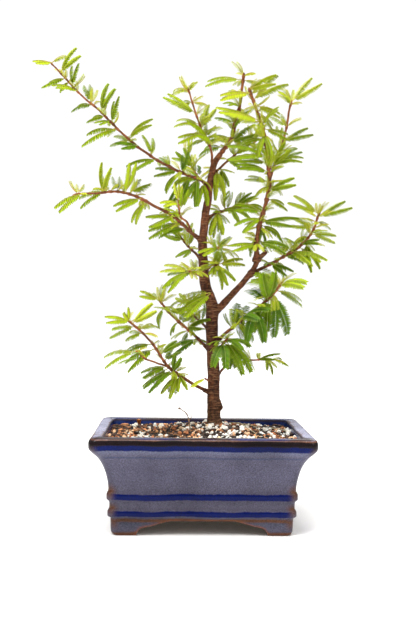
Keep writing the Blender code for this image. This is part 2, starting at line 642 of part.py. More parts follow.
def make_leaf(name, leaf, lines, collection):
    """One leaf as a thin sheet in the outline of its stalk and its two toothed blades, thickened."""
    shoot, foot, (along, left, face), ribs, length = leaf
    least, share = OPEN_HALF_WIDTH if shoot in OPEN_LEAVES else FOLDED_HALF_WIDTH
    half_width = least + share * length
    bm = bmesh.new()
    roots = [bm.verts.new(heart(foot, lines) + side * STALK_HALVES[0] * left) for side in (1, -1)]
    fork = [bm.verts.new(ribs[0][0] + side * STALK_HALVES[1] * left) for side in (1, -1)]
    crotch = bm.verts.new(ribs[0][0] + WEB * length * along)
    bm.faces.new((roots[0], roots[1], fork[1], fork[0]))
    bm.faces.new((fork[0], fork[1], crotch))

    def kept_apart(point, blade_side):
        """A point of a blade's outline, moved sideways where it would reach the leaf's other blade."""
        apart = blade_side * (point - crotch.co).dot(left)
        return point + max(0.0, BLADES_APART - apart) * blade_side * left

    for blade_side, rib, edge in ((1, ribs[0], [fork[0], crotch]), (-1, ribs[1], [crotch, fork[1]])):
        for notch, tooth, width in LEAFLETS if length > SMALL_LEAF else SMALL_LEAFLETS:
            place, course = rib_place(rib, notch)
            across = face.cross(course).normalized()
            if notch < 1:
                ends = [bm.verts.new(kept_apart(place + side * CUT_DEPTH * half_width * across, blade_side))
                        for side in (1, -1)]
                bm.faces.new((edge[0], edge[1], ends[1]))
                bm.faces.new((edge[0], ends[1], ends[0]))
            else:
                ends = [bm.verts.new(place)] * 2
                bm.faces.new((edge[0], edge[1], ends[0]))
            place, course = rib_place(rib, tooth)
            across = face.cross(course).normalized()
            for side, low, high in ((1, edge[0], ends[0]), (-1, edge[1], ends[1])):
                tip = kept_apart(place + side * width * half_width * across, blade_side)
                stands_out = side * (tip - (low.co + high.co) / 2).dot(across)
                if stands_out > LEAST_TOOTH * width * half_width:
                    bm.faces.new((low, high, bm.verts.new(tip)))
            edge = ends
    blade = add_object(name, mesh_from(name, bm), collection)
    thick = blade.modifiers.new("blade", "SOLIDIFY")
    thick.thickness = BLADE * MM
    thick.offset = 0
    return blade


def make_shoots(parts, foliage):
    leaves = grow_leaves()
    for name, shoot in SHOOTS.items():
        grown, lines = new_collection(name + "_parts"), []
        for index, (route, radii, *rest) in enumerate(shoot):
            points = smooth_route(route)
            if index == 0:
                points, end, course = collar(name)
                points = [points[end] + GAP * course, points[end] + 2 * course] + points[end + 4:]
                stem = tube(name, points, taper(points, radii), parts, resolution=0)
            else:
                tube(f"{name}_twig_{index}", points, taper(points, radii), grown, resolution=0)
            lines.append([points[i] for i in ring_places(points)])
        for number, leaf in enumerate(found for found in leaves if found[0] == name):
            make_leaf(f"{name}_leaf_{number}", leaf, lines, grown)
        fused(stem, grown).data.materials.append(foliage)


def make_dry_twig(parts, bark):
    points = smooth_route(DRY_TWIG)
    twig = tube("dry_twig", points, taper(points, DRY_TWIG_RADII), parts, every=5)
    twig.data.materials.append(bark)


def main():
    clear_scene()
    parts = new_collection("powder_puff_bonsai")
    make_tray(parts, material("glaze", (0.13, 0.14, 0.24), 0.25))
    plastic = material("screen_plastic", (0.03, 0.03, 0.03), 0.6)
    make_screen("drain_screen_left", -1, parts, plastic)
    make_screen("drain_screen_right", 1, parts, plastic)
    make_soil(parts, material("growing_mix", (0.09, 0.06, 0.04), 0.95))
    bark = material("bark", (0.16, 0.08, 0.05), 0.85)
    make_trunk(parts, bark)
    make_dry_twig(parts, bark)
    make_shoots(parts, material("foliage", (0.2, 0.36, 0.07), 0.5))


main()
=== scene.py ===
import math
import random
from collections import namedtuple

import bpy
import numpy as np
from mathutils import Matrix, Vector, noise
from mathutils.bvhtree import BVHTree
from mathutils.kdtree import KDTree


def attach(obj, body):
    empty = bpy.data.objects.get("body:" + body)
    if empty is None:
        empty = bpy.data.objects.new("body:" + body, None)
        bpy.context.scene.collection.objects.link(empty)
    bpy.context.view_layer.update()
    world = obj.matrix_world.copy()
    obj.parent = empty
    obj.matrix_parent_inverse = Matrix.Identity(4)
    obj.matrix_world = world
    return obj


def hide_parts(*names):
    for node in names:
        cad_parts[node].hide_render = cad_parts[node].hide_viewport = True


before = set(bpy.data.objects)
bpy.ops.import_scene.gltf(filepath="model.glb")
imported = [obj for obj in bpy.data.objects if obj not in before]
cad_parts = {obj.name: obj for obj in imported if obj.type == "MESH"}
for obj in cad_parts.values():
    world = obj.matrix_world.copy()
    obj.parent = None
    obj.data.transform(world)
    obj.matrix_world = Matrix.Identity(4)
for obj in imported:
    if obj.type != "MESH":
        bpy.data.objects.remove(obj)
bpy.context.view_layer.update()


# Glazed tray. One slab-built stoneware piece on four bracket feet. Its grey-blue glaze pools cobalt on
# the two ribs and under the rim, and breaks to brown on the arrises. Underneath the clay is bare.

# All sizes are in millimetres.
MM = 0.001
TRAY_HALF = (80, 60)
TRAY_TOP = 71
TRAY_FLOOR = 15
# The wall's section, up the outside and down the inside: the height, and how far in from the rim's edge.
TRAY_PROFILE = [
    (0, 17), (2.5, 15.4), (10.5, 14.9), (12.6, 14.7), (14, 12.9), (17.6, 12.9), (19.4, 13.9), (24.2, 13.7),
    (26, 12.1), (30, 12.1), (32, 13.1), (38, 12.7), (45, 11.2), (51, 9), (56, 6), (60, 2.4), (62.6, 0.4),
    (65, -0.1), (67.5, 0), (69.7, 0.9), (70.9, 2.8), (71, 5.6), (70.8, 8.4), (69.6, 9.9), (65, 11), (60, 12),
    (48, 17.5), (19, 20), (15.6, 21.5), (15, 23)]
RING_SPACING = 1.2
FOOT_CORNER = 4.2
FOOT_LENGTH = 16
# The edge of a foot beside the cut: how far from the foot's end towards the tray's middle, and how high.
FOOT_CURVE = [(0, -2), (0, 0), (1.4, 3), (4, 5.6), (11, 7.2), (19, 9.6), (24, 10.8)]
DRAIN_RADIUS = 7
DRAIN_OFFSET = 36
DRAIN_MIDDLE = 12
DRAIN_DEPTH = 20
THIN_REACH = 1.5
LIP_HEIGHT = 69.6
LIP_REACH = 1.4
RIM_WIDTH = 12


def start():
    """Object mode with nothing selected, so that an operator reaches only what is added next."""
    if bpy.context.object and bpy.context.object.mode != "OBJECT":
        bpy.ops.object.mode_set(mode="OBJECT")
    bpy.ops.object.select_all(action="DESELECT")


def pick(*objects):
    """Only these objects selected, the first one active."""
    start()
    for obj in objects:
        obj.select_set(True)
    bpy.context.view_layer.objects.active = objects[0]


def place(obj):
    """The object's place moved into its mesh, so that it sits at the origin, unturned and unscaled."""
    pick(obj)
    bpy.ops.object.transform_apply(location=True, rotation=True, scale=True)


def edit_all():
    """Edit mode with the whole mesh selected."""
    bpy.ops.object.mode_set(mode="EDIT")
    bpy.ops.mesh.select_all(action="SELECT")


def face_out():
    """All faces of the mesh in edit mode turned outwards, and object mode again."""
    bpy.ops.mesh.select_all(action="SELECT")
    bpy.ops.mesh.normals_make_consistent(inside=False)
    bpy.ops.object.mode_set(mode="OBJECT")


def apply_modifier(obj, kind, **settings):
    pick(obj)
    modifier = obj.modifiers.new(kind.lower(), kind)
    for setting, value in settings.items():
        setattr(modifier, setting, value)
    bpy.ops.object.modifier_apply(modifier=modifier.name)


def clamp(value):
    return max(0.0, min(1.0, value))


def smooth_route(route, spacing=1.0):
    """Points about that far apart on a smooth curve through the route's own points."""
    knots = [Vector(p) for p in route]
    ends = [2 * knots[0] - knots[1]] + knots + [2 * knots[-1] - knots[-2]]
    points = []
    for a, b, c, d in zip(ends, ends[1:], ends[2:], ends[3:]):
        steps = max(1, round((c - b).length / spacing))
        for step in range(steps):
            t = step / steps
            points.append(0.5 * (2 * b + (c - a) * t + (2 * a - 5 * b + 4 * c - d) * t * t
                                 + (3 * b - a - 3 * c + d) * t ** 3))
    return points + [knots[-1]]


def colour(*screen):
    """A linear colour from screen values of 0 to 255."""
    linear = [v / 255 / 12.92 if v <= 10 else ((v / 255 + 0.055) / 1.055) ** 2.4 for v in screen]
    return (*linear, 1)


def new_material(name):
    """A material, its nodes, its shader, and the piece's own space for its patterns."""
    made = bpy.data.materials.new(name)
    made.use_nodes = True
    tree = made.node_tree
    space = tree.nodes.new("ShaderNodeTexCoord").outputs["Object"]
    return made, tree, tree.nodes["Principled BSDF"], space


def connect(tree, socket, value):
    """The socket linked to another node's output, or set to a plain value."""
    if isinstance(value, bpy.types.NodeSocket):
        tree.links.new(value, socket)
    else:
        socket.default_value = value


def add(tree, kind, inputs):
    """A shader node with these inputs. Returns its first output."""
    node = tree.nodes.new("ShaderNode" + kind)
    for socket, value in inputs.items():
        connect(tree, node.inputs[socket], value)
    return node.outputs[0]


def attribute(tree, name):
    node = tree.nodes.new("ShaderNodeAttribute")
    node.attribute_name = name
    return node.outputs["Fac"]


def height_in(tree, space):
    return add(tree, "SeparateXYZ", {"Vector": space}).node.outputs["Z"]


def ramp(tree, factor, stops):
    """Values or screen colours that follow the factor from stop to stop."""
    node = tree.nodes.new("ShaderNodeValToRGB")
    elements = node.color_ramp.elements
    elements[-1].position = stops[-1][0]
    elements[0].position = stops[0][0]
    for at, _ in stops[1:-1]:
        elements.new(at)
    for element, (_, value) in zip(elements, stops):
        element.color = colour(*value) if isinstance(value, tuple) else (value, value, value, 1)
    tree.links.new(factor, node.inputs[0])
    return node.outputs[0]


def mix(tree, factor, a, b, blend="MIX"):
    """Two colours mixed. A plain colour is given in screen values."""
    node = tree.nodes.new("ShaderNodeMix")
    node.data_type = "RGBA"
    node.blend_type = blend
    connect(tree, node.inputs[0], factor)
    for socket, value in ((node.inputs[6], a), (node.inputs[7], b)):
        connect(tree, socket, colour(*value) if isinstance(value, tuple) else value)
    return node.outputs[2]


def dapple(tree, tone, pattern):
    """The tone made darker and lighter by a pattern of values about 1."""
    return mix(tree, 1.0, tone, pattern, "MULTIPLY")


def math_node(tree, operation, a, b):
    node = tree.nodes.new("ShaderNodeMath")
    node.operation = operation
    for socket, value in zip(node.inputs, (a, b)):
        connect(tree, socket, value)
    return node.outputs[0]


def grain(tree, space, scale, detail=3.0, rough=0.55, stretch=None):
    """Noise over the piece's own space. stretch packs it closer along some of the axes."""
    if stretch:
        space = add(tree, "Mapping", {"Vector": space, "Scale": stretch})
    return add(tree, "TexNoise", {"Vector": space, "Scale": scale, "Detail": detail, "Roughness": rough})


def relief(tree, shader, height, strength, distance, under=None):
    """Bumps on the shader, over those under them if there are any."""
    inputs = {"Height": height, "Strength": strength, "Distance": distance}
    if under:
        inputs["Normal"] = under
    normal = add(tree, "Bump", inputs)
    tree.links.new(normal, shader.inputs["Normal"])
    return normal


def set_attribute(mesh, name, values, domain="POINT"):
    made = mesh.attributes.new(name, "FLOAT", domain)
    made.data.foreach_set("value", np.asarray(values, np.float32))


def clay_finish():
    """Bare reddish brown clay, rubbed and a little sandy, redder where the feet stand. Its body is darker than
    the clay's own brown: painted shade for the underside.
    """
    made, tree, shader, space = new_material("bare_clay")
    # Painted shade: the body tones are darkened past the clay's own brown, so that the underside looks shaded.
    body = ramp(tree, grain(tree, space, 90, 5), [(0.3, (44, 28, 21)), (0.7, (74, 47, 34))])
    sand = ramp(tree, grain(tree, space, 1600, 2), [(0.45, (62, 41, 30)), (0.62, (120, 82, 58))])
    sole = math_node(tree, "LESS_THAN", height_in(tree, space), 0.6 * MM)
    tone = mix(tree, sole, mix(tree, 0.3, body, sand), (120, 70, 47))
    tree.links.new(tone, shader.inputs["Base Color"])
    shader.inputs["Roughness"].default_value = 0.8
    relief(tree, shader, grain(tree, space, 1300, 3), 0.35, 0.2 * MM)
    return made


def waver(tree, space, scale, detail, reach):
    """Noise about zero, up to half the reach either way."""
    level = math_node(tree, "SUBTRACT", grain(tree, space, scale, detail), 0.5)
    return math_node(tree, "MULTIPLY", level, reach)


def glaze_finish():
    """Grey-blue glaze whose colour follows the height: cobalt where it pools, brown where it runs thin, and a
    painted pale reflection on the rim's top.
    """
    made, tree, shader, space = new_material("glaze")
    sag = waver(tree, space, 40, 3, 3.2 * MM)
    fray = waver(tree, space, 420, 2, 0.8 * MM)
    level = math_node(tree, "ADD", height_in(tree, space), math_node(tree, "ADD", sag, fray))
    level = math_node(tree, "DIVIDE", level, TRAY_TOP * MM)
    wall, low_wall, cobalt, rim_cobalt = (81, 79, 97), (72, 69, 84), (0, 13, 70), (2, 17, 74)
    clay, thin_clay, brown = (92, 52, 34), (84, 56, 42), (84, 54, 38)
    # The pale top of the rim is a painted reflection of the bright backdrop in the glaze.
    black, edge, rim_reflection = (24, 17, 19), (98, 66, 52), (160, 160, 184)
    # The glaze by its height in millimetres: the rim, the wall below it, and the wall at the four corners.
    rim = [(66.1, black), (69.3, black), (69.8, edge), (70.3, edge), (70.8, rim_reflection)]
    bands = [
        (0, clay), (2.2, thin_clay), (3.4, low_wall), (9.4, (64, 64, 78)), (10.4, brown), (11.8, brown),
        (12.8, low_wall), (13.6, low_wall), (14.3, cobalt), (17.4, cobalt), (18.1, low_wall),
        (19.4, (70, 66, 78)), (21, low_wall), (25.4, low_wall), (26.1, cobalt), (29.9, cobalt),
        (30.7, low_wall), (42, wall), (55.6, wall), (56.7, (62, 66, 92)), (57.8, wall),
        (61.6, (92, 94, 116)), (62.5, rim_cobalt), (65.3, rim_cobalt)]
    corners = [
        (0, clay), (2.2, thin_clay), (3.4, low_wall), (10.4, brown), (13, low_wall), (20, brown),
        (24, low_wall), (32, brown), (38, low_wall), (58, wall), (62.5, (70, 62, 74)), (65.3, (40, 28, 34))]
    sides, ends = (ramp(tree, level, [(z / TRAY_TOP, tone) for z, tone in heights + rim])
                   for heights in (bands, corners))
    tint = mix(tree, attribute(tree, "corner"), sides, ends)
    # Fine crystals make the glaze look frosted, over broad darker and lighter clouds.
    specks = ramp(tree, grain(tree, space, 1500, 4, 0.7), [(0.38, 0.6), (0.5, 0.98), (0.62, 1.42)])
    clouds = ramp(tree, grain(tree, space, 26, 3, 0.6), [(0.34, 0.78), (0.5, 1.0), (0.66, 1.18)])
    tint = dapple(tree, dapple(tree, tint, specks), clouds)
    cut_brown = mix(tree, grain(tree, space, 600, 3), (84, 48, 32), (140, 84, 56))
    tint = mix(tree, attribute(tree, "thin"), tint, cut_brown)
    inner_blue = ramp(tree, grain(tree, space, 140, 4), [(0.35, (14, 30, 82)), (0.7, (36, 60, 120))])
    tint = mix(tree, attribute(tree, "inner"), tint, inner_blue)
    # Along the two long sides the rim's top is dark glaze, blue in places and brown in others, without the
    # painted pale reflection kept on the short ends.
    long_rim_dark = ramp(tree, grain(tree, space, 26, 3), [(0.4, (22, 32, 86)), (0.56, (52, 36, 36))])
    tint = mix(tree, attribute(tree, "rim_top"), tint, long_rim_dark)
    tint = mix(tree, attribute(tree, "lip"), tint, (46, 34, 36))
    tree.links.new(tint, shader.inputs["Base Color"])
    rough = ramp(tree, grain(tree, space, 240, 3), [(0.3, 0.12), (0.7, 0.24)])
    tree.links.new(rough, shader.inputs["Roughness"])
    shader.inputs["IOR"].default_value = 1.5
    shader.inputs["Specular IOR Level"].default_value = 0.12
    broad = relief(tree, shader, grain(tree, space, 65, 2), 0.25, 1.2 * MM)
    relief(tree, shader, grain(tree, space, 900, 3), 0.12, 0.2 * MM, broad)
    return made


glaze = glaze_finish()
bare_clay = clay_finish()

# The outline of the feet, rounded and divided, then pulled up ring by ring along the profile.
foot_inset = TRAY_PROFILE[0][1]
start()
bpy.ops.mesh.primitive_plane_add(size=2)
tray = bpy.context.object
tray.name = "tray_glazed"
tray.scale = ((TRAY_HALF[0] - foot_inset) * MM, (TRAY_HALF[1] - foot_inset) * MM, 1)
place(tray)
edit_all()
bpy.ops.mesh.bevel(offset=FOOT_CORNER * MM, segments=6, affect="VERTICES")
bpy.ops.mesh.select_all(action="SELECT")
bpy.ops.mesh.delete(type="ONLY_FACE")
# Each straight edge is halved, and then each half divided for the curves of the feet.
for cuts, longest in ((1, 60), (34, 20)):
    bpy.ops.object.mode_set(mode="OBJECT")
    ends = [v.co.copy() for v in tray.data.vertices]
    for edge in tray.data.edges:
        a, b = edge.vertices
        edge.select = (ends[a] - ends[b]).length > longest * MM
    bpy.ops.object.mode_set(mode="EDIT")
    bpy.ops.mesh.select_mode(type="EDGE")
    bpy.ops.mesh.subdivide(number_cuts=cuts)
bpy.ops.mesh.select_all(action="SELECT")
bpy.ops.mesh.edge_face_add()
profile = [(p.z, p.x) for p in smooth_route([(inset, 0, z) for z, inset in TRAY_PROFILE], RING_SPACING)]
for (low, inset), (high, next_inset) in zip(profile, profile[1:]):
    bpy.ops.mesh.extrude_region_move(TRANSFORM_OT_translate={"value": (0, 0, (high - low) * MM)})
    bpy.ops.transform.resize(value=[(half - next_inset) / (half - inset) for half in TRAY_HALF] + [1])
face_out()

# Pressed by hand: the outside waves by a few tenths of a millimetre.
for vert in tray.data.vertices:
    across = max(abs(vert.co.x) / TRAY_HALF[0], abs(vert.co.y) / TRAY_HALF[1]) / MM
    if across > 0.76 and vert.co.z > MM:
        wave = 0.3 * noise.noise(vert.co * 24) + 0.1 * noise.noise(vert.co * 110)
        vert.co += wave * MM * Vector((vert.co.x / (TRAY_HALF[0] * MM), vert.co.y / (TRAY_HALF[1] * MM), 0))
tray.data.materials.append(glaze)


def cut_away(obj, cutter, finish):
    """The cutter taken out of the object by a Boolean, its faces in their own finish."""
    place(cutter)
    cutter.data.materials.append(finish)
    apply_modifier(obj, "BOOLEAN", object=cutter, operation="DIFFERENCE", solver="EXACT",
                   material_mode="TRANSFER")
    bpy.data.objects.remove(cutter)


# The cuts between the feet, one through from front to back and one from side to side, and the drains.
foot_line = [(p.x, p.z) for p in smooth_route([(dx, 0, z) for dx, z in FOOT_CURVE[1:]], RING_SPACING)]
cut_halves = [half - foot_inset - FOOT_LENGTH for half in TRAY_HALF]
for cut_half, reach, quarter in ((cut_halves[0], TRAY_HALF[1], 0), (cut_halves[1], TRAY_HALF[0], 90)):
    side = [(cut_half - dx, z) for dx, z in [FOOT_CURVE[0]] + foot_line]
    outline = side + [(-x, z) for x, z in reversed(side)]
    start()
    bpy.ops.mesh.primitive_circle_add(vertices=len(outline), radius=1, fill_type="NGON")
    cutter = bpy.context.object
    for vert, (x, z) in zip(cutter.data.vertices, outline):
        vert.co = (x * MM, reach * MM, z * MM)
    edit_all()
    bpy.ops.mesh.extrude_region_move(TRANSFORM_OT_translate={"value": (0, -2 * reach * MM, 0)})
    face_out()
    cutter.rotation_euler.z = math.radians(quarter)
    cut_away(tray, cutter, bare_clay)
for side in (-1, 1):
    start()
    bpy.ops.mesh.primitive_cylinder_add(vertices=40, radius=DRAIN_RADIUS * MM, depth=DRAIN_DEPTH * MM,
                                        location=(side * DRAIN_OFFSET * MM, 0, DRAIN_MIDDLE * MM))
    cut_away(tray, bpy.context.object, bare_clay)

# Where the glaze changes: thin along the cuts, the inside, the rim's inner lip, the rim's top along the long
# sides, which is dark there without the painted pale reflection of the short ends, and the four corners.
cut_reach, cut_height = FOOT_CURVE[-1]
cut_line = foot_line + [(cut_reach + dx, cut_height) for dx in range(0, 40, 2)]
marks = {"thin": [], "inner": [], "lip": [], "rim_top": [], "corner": []}
for vert in tray.data.vertices:
    x, y, z = (abs(c) / MM for c in vert.co)
    from_end = TRAY_HALF[0] - x
    from_side = TRAY_HALF[1] - y
    inset, other = sorted((from_end, from_side))
    along, cut_half = (x, cut_halves[0]) if from_side < from_end else (y, cut_halves[1])
    near = min(math.hypot(along - (cut_half - dx), z - h) for dx, h in cut_line)
    marks["thin"].append(clamp(1 - near / THIN_REACH))
    inside = inset > 15.8 or z > 50 and inset > 12 or z > 56 and inset > 9.6
    marks["inner"].append(1.0 if inside and z > TRAY_FLOOR - 0.5 else 0.0)
    marks["lip"].append(clamp(1 - abs(z - LIP_HEIGHT) / LIP_REACH) if 8.8 < inset < RIM_WIDTH else 0.0)
    # The rim's top along the long sides takes dark glaze in place of the painted pale reflection.
    long_side = clamp(0.9 + (from_end - from_side) / 8)
    marks["rim_top"].append(long_side * clamp((z - 69.9) / 0.5) if inset < RIM_WIDTH else 0.0)
    marks["corner"].append(clamp(1 - (other - inset - 3) / 4))
for name, values in marks.items():
    set_attribute(tray.data, name, values)
pick(tray)
bpy.ops.object.shade_smooth_by_angle(angle=math.radians(42))
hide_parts("tray")
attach(tray, "root")


# Drain screens. Two squares of black moulded plastic mesh, laid loose over the drain holes before the
# mix goes in.

def screen_finish():
    made, tree, shader, space = new_material("screen_plastic")
    tone = ramp(tree, grain(tree, space, 300, 4), [(0.3, (24, 24, 25)), (0.7, (46, 45, 44))])
    tree.links.new(tone, shader.inputs["Base Color"])
    tree.links.new(ramp(tree, grain(tree, space, 700), [(0.3, 0.45), (0.7, 0.7)]), shader.inputs["Roughness"])
    relief(tree, shader, grain(tree, space, 1200, 2), 0.3, 0.1 * MM)
    return made


screen_plastic = screen_finish()
for name in ("drain_screen_left", "drain_screen_right"):
    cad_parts[name].material_slots[0].material = screen_plastic


# Growing mix. Moist fine bark mould with coarse grit in it, filled in loose and heaped a little round
# the trunk.

def mould_finish():
    made, tree, shader, space = new_material("bark_mould")
    crumbs = add(tree, "TexVoronoi", {"Vector": space, "Scale": 700, "Randomness": 1.0})
    tone = ramp(tree, grain(tree, space, 260, 6, 0.7),
                [(0.3, (22, 16, 14)), (0.5, (50, 37, 30)), (0.68, (92, 68, 50)), (0.8, (140, 105, 78))])
    tree.links.new(tone, shader.inputs["Base Color"])
    shader.inputs["Roughness"].default_value = 0.9
    coarse = relief(tree, shader, crumbs, 0.8, 0.9 * MM)
    relief(tree, shader, grain(tree, space, 1400, 4, 0.7), 0.5, 0.4 * MM, coarse)
    return made


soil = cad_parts["soil"]
soil.material_slots[0].material = mould_finish()


# Grit on the mix: chips of composted bark, white pumice, and broken baked clay, with crumbs of mould
# between them. Each kind has a few shapes, which lie at random where they were poured.

GRIT_SEED = 21
CHIP_SHAPES = 6
TRUNK_FOOT = (10, 8)
TRUNK_ROOM = 5.8
INSIDE_HALF = (69.2, 49.2)
SOIL_TOP = 80
BARK_TONES = [(0, (22, 16, 13)), (0.5, (50, 34, 25)), (0.78, (102, 66, 43)), (1, (182, 122, 78))]
PUMICE_TONES = [(0, (226, 214, 194)), (0.4, (248, 243, 232)), (1, (254, 252, 246))]
CLAY_TONES = [(0, (158, 90, 52)), (0.35, (212, 138, 88)), (0.7, (238, 180, 128)), (1, (252, 224, 186))]
# How each kind lies: how many, their sizes, the room between them as a share of their sizes, how much of
# a grain stands proud, how far it tips, and the pattern of its drifts, 0 for none. Then its proportions
# and how often it is broken. Then its tones, how fine and how strong its pits are, and its roughness.
GRIT_KINDS = {
    "bark_chips": (
        (430, (2.6, 8.0), 0.5, 0.07, 30, 0), ((1.0, 0.6, 0.34), 6), (BARK_TONES, 500, 0.6, 0.85)),
    "pumice_grains": (
        (300, (2.0, 5.2), 0.56, 0.2, 90, 4.7), ((1.0, 0.86, 0.76), 8), (PUMICE_TONES, 900, 0.8, 0.9)),
    "clay_grains": (
        (320, (1.7, 4.2), 0.54, 0.18, 90, 9.3), ((1.0, 0.8, 0.66), 7), (CLAY_TONES, 800, 0.5, 0.85)),
    "mould_crumbs": (
        (1300, (1.0, 3.0), 0.4, 0.14, 90, 0), ((1.0, 0.75, 0.55), 2), (BARK_TONES, 900, 0.6, 0.9))}


def take_shape(obj):
    """A mesh's vertices and faces as arrays, for copies. The object itself is removed."""
    points = np.array([v.co for v in obj.data.vertices])
    faces = np.array([p.vertices for p in obj.data.polygons])
    bpy.data.objects.remove(obj)
    return points, faces


def model_chip(size, cuts, seed):
    """One broken grain about a millimetre long with flat sides, as its vertices and faces."""
    rng = random.Random(seed)
    start()
    bpy.ops.mesh.primitive_ico_sphere_add(subdivisions=1, radius=0.56)
    chip = bpy.context.object
    bpy.ops.object.mode_set(mode="EDIT")
    for _ in range(cuts):
        normal = Vector([rng.gauss(0, 1) for _ in range(3)]).normalized()
        bpy.ops.mesh.select_all(action="SELECT")
        bpy.ops.mesh.bisect(plane_co=rng.uniform(0.24, 0.42) * normal, plane_no=normal, use_fill=True,
                            clear_outer=True)
    bpy.ops.mesh.select_all(action="SELECT")
    bpy.ops.mesh.remove_doubles(threshold=0.03)
    bpy.ops.mesh.quads_convert_to_tris()
    face_out()
    for vert in chip.data.vertices:
        push = 1 + 0.16 * noise.noise(vert.co * 4 + Vector((seed, 0, 0)))
        vert.co = [push * c * s for c, s in zip(vert.co, size)]
    return take_shape(chip)


def copies(name, shapes, places, picks, marks):
    """One object of many copies of a few shapes, each at its own place, with its own value as a mark."""
    verts, faces, values, count = [], [], {key: [] for key in marks}, 0
    for i, (matrix, which) in enumerate(zip(places, picks)):
        points, sides = shapes[which]
        verts.append(points @ np.array(matrix.to_3x3()).T + np.array(matrix.translation))
        faces.append(sides + count)
        count += len(points)
        for key in marks:
            values[key].append(np.full(len(points), marks[key][i]))
    mesh = bpy.data.meshes.new(name)
    mesh.from_pydata(np.concatenate(verts).tolist(), [], np.concatenate(faces).tolist())
    for key in marks:
        set_attribute(mesh, key, np.concatenate(values[key]))
    obj = bpy.data.objects.new(name, mesh)
    bpy.context.scene.collection.objects.link(obj)
    return obj


soil_surface = BVHTree.FromPolygons([v.co.copy() for v in soil.data.vertices],
                                    [tuple(p.vertices) for p in soil.data.polygons])
taken = []


def soil_height(x, y):
    """The height of the mix there in metres, or nothing where there is none."""
    hit = soil_surface.ray_cast(Vector((x, y, SOIL_TOP)) * MM, Vector((0, 0, -1)))[0]
    return hit.z if hit else None


def crowded(x, y, size, crowding):
    """Whether a grain there comes nearer to another than that share of their sizes."""
    for other_x, other_y, other_size in taken:
        room = crowding * (size + other_size) / 2
        if abs(x - other_x) < room and math.dist((x, y), (other_x, other_y)) < room:
            return True
    return False


def strew(rng, number, sizes, crowding, lift, flat, drift):
    """Places for grains on the mix, each grain clear of those already taken, and its rank among the tones."""
    found, ranks = [], []
    for _ in range(60 * number):
        if len(found) == number:
            break
        x, y = (rng.uniform(-half, half) for half in INSIDE_HALF)
        size = sizes[0] + (sizes[1] - sizes[0]) * rng.random() ** 1.5
        if math.dist((x, y), TRUNK_FOOT) < TRUNK_ROOM + size / 2:
            continue
        chance = 0.5 + 0.005 * (x - y) + 1.5 * noise.noise(Vector((0.055 * x, 0.055 * y, drift)))
        if drift and chance < rng.random():
            continue
        if crowded(x, y, size, crowding):
            continue
        ground = soil_height(x, y)
        if ground is None:
            continue
        taken.append((x, y, size))
        turn = Matrix.Rotation(rng.uniform(0, math.tau), 4, "Z")
        tilt = Matrix.Rotation(math.radians(rng.uniform(-flat, flat)), 4, rng.choice("XY"))
        spot = Matrix.Translation((x * MM, y * MM, ground + lift * size * MM))
        found.append(spot @ turn @ tilt @ Matrix.Scale(size * MM, 4))
        ranks.append(rng.random())
    return found, ranks


def grit_finish(name, tones, scale, strength, roughness):
    made, tree, shader, space = new_material(name)
    tone = ramp(tree, attribute(tree, "tone"), tones)
    mottle = ramp(tree, grain(tree, space, scale, 5, 0.7), [(0.3, 0.55), (0.5, 1.0), (0.7, 1.3)])
    tree.links.new(dapple(tree, tone, mottle), shader.inputs["Base Color"])
    shader.inputs["Roughness"].default_value = roughness
    relief(tree, shader, grain(tree, space, 2 * scale, 4, 0.7), strength, 0.3 * MM)
    return made


rng = random.Random(GRIT_SEED)
for name, (lie, form, finish) in GRIT_KINDS.items():
    shapes = [model_chip(*form, seed) for seed in range(CHIP_SHAPES)]
    places, ranks = strew(rng, *lie)
    grit = copies(name, shapes, places, [rng.randrange(CHIP_SHAPES) for _ in places], {"tone": ranks})
    pick(grit)
    bpy.ops.object.shade_smooth_by_angle(angle=math.radians(24))
    grit.data.materials.append(grit_finish(name, *finish))
    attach(grit, "root")


# Trunk and limb. The living wood of a young tree, with thin reddish brown bark that has fine pale
# lenticels round it, a pruned knob low on the right, and a collar where each shoot leaves it.

TRUNK = [(10, 8, 44), (10, 8, 62), (10, 8, 72), (9, 8, 91), (9, 8, 105), (8, 8, 126), (7, 8, 147),
         (7, 8, 163), (2, 6, 177), (0, 5, 192), (-1, 4, 208), (0, 4, 222), (1, 4, 234), (3, 4, 245),
         (4, 5, 256), (6, 6, 267), (8, 7, 273), (12, 8, 279)]
# The trunk's radius at each height.
TRUNK_RADII = [(44, 5.6), (70, 5.7), (79, 4.9), (99, 4.4), (142, 4.3), (157, 4.5), (172, 3.9), (203, 3.2),
               (217, 2.9), (240, 2.6), (263, 2.1), (279, 1.9)]
TRUNK_FLARE = 0.16
FLARE_HEIGHT = 71
LIMB = [(7, 8, 155), (17, 4, 166), (23, 0, 173), (29, -4, 180), (37, -8, 191), (40, -10, 197), (46, -13, 204)]
LIMB_RADII = (2.8, 1.5)
LIMB_SHOOTS = ("shoot_right_rise", "shoot_right_reach")
KNOB = (13, 7, 87)
KNOB_RADII = (3.8, 3.6, 4.6)
WOOD_VOXEL = 0.52
BARK_EXTRA = 0.35

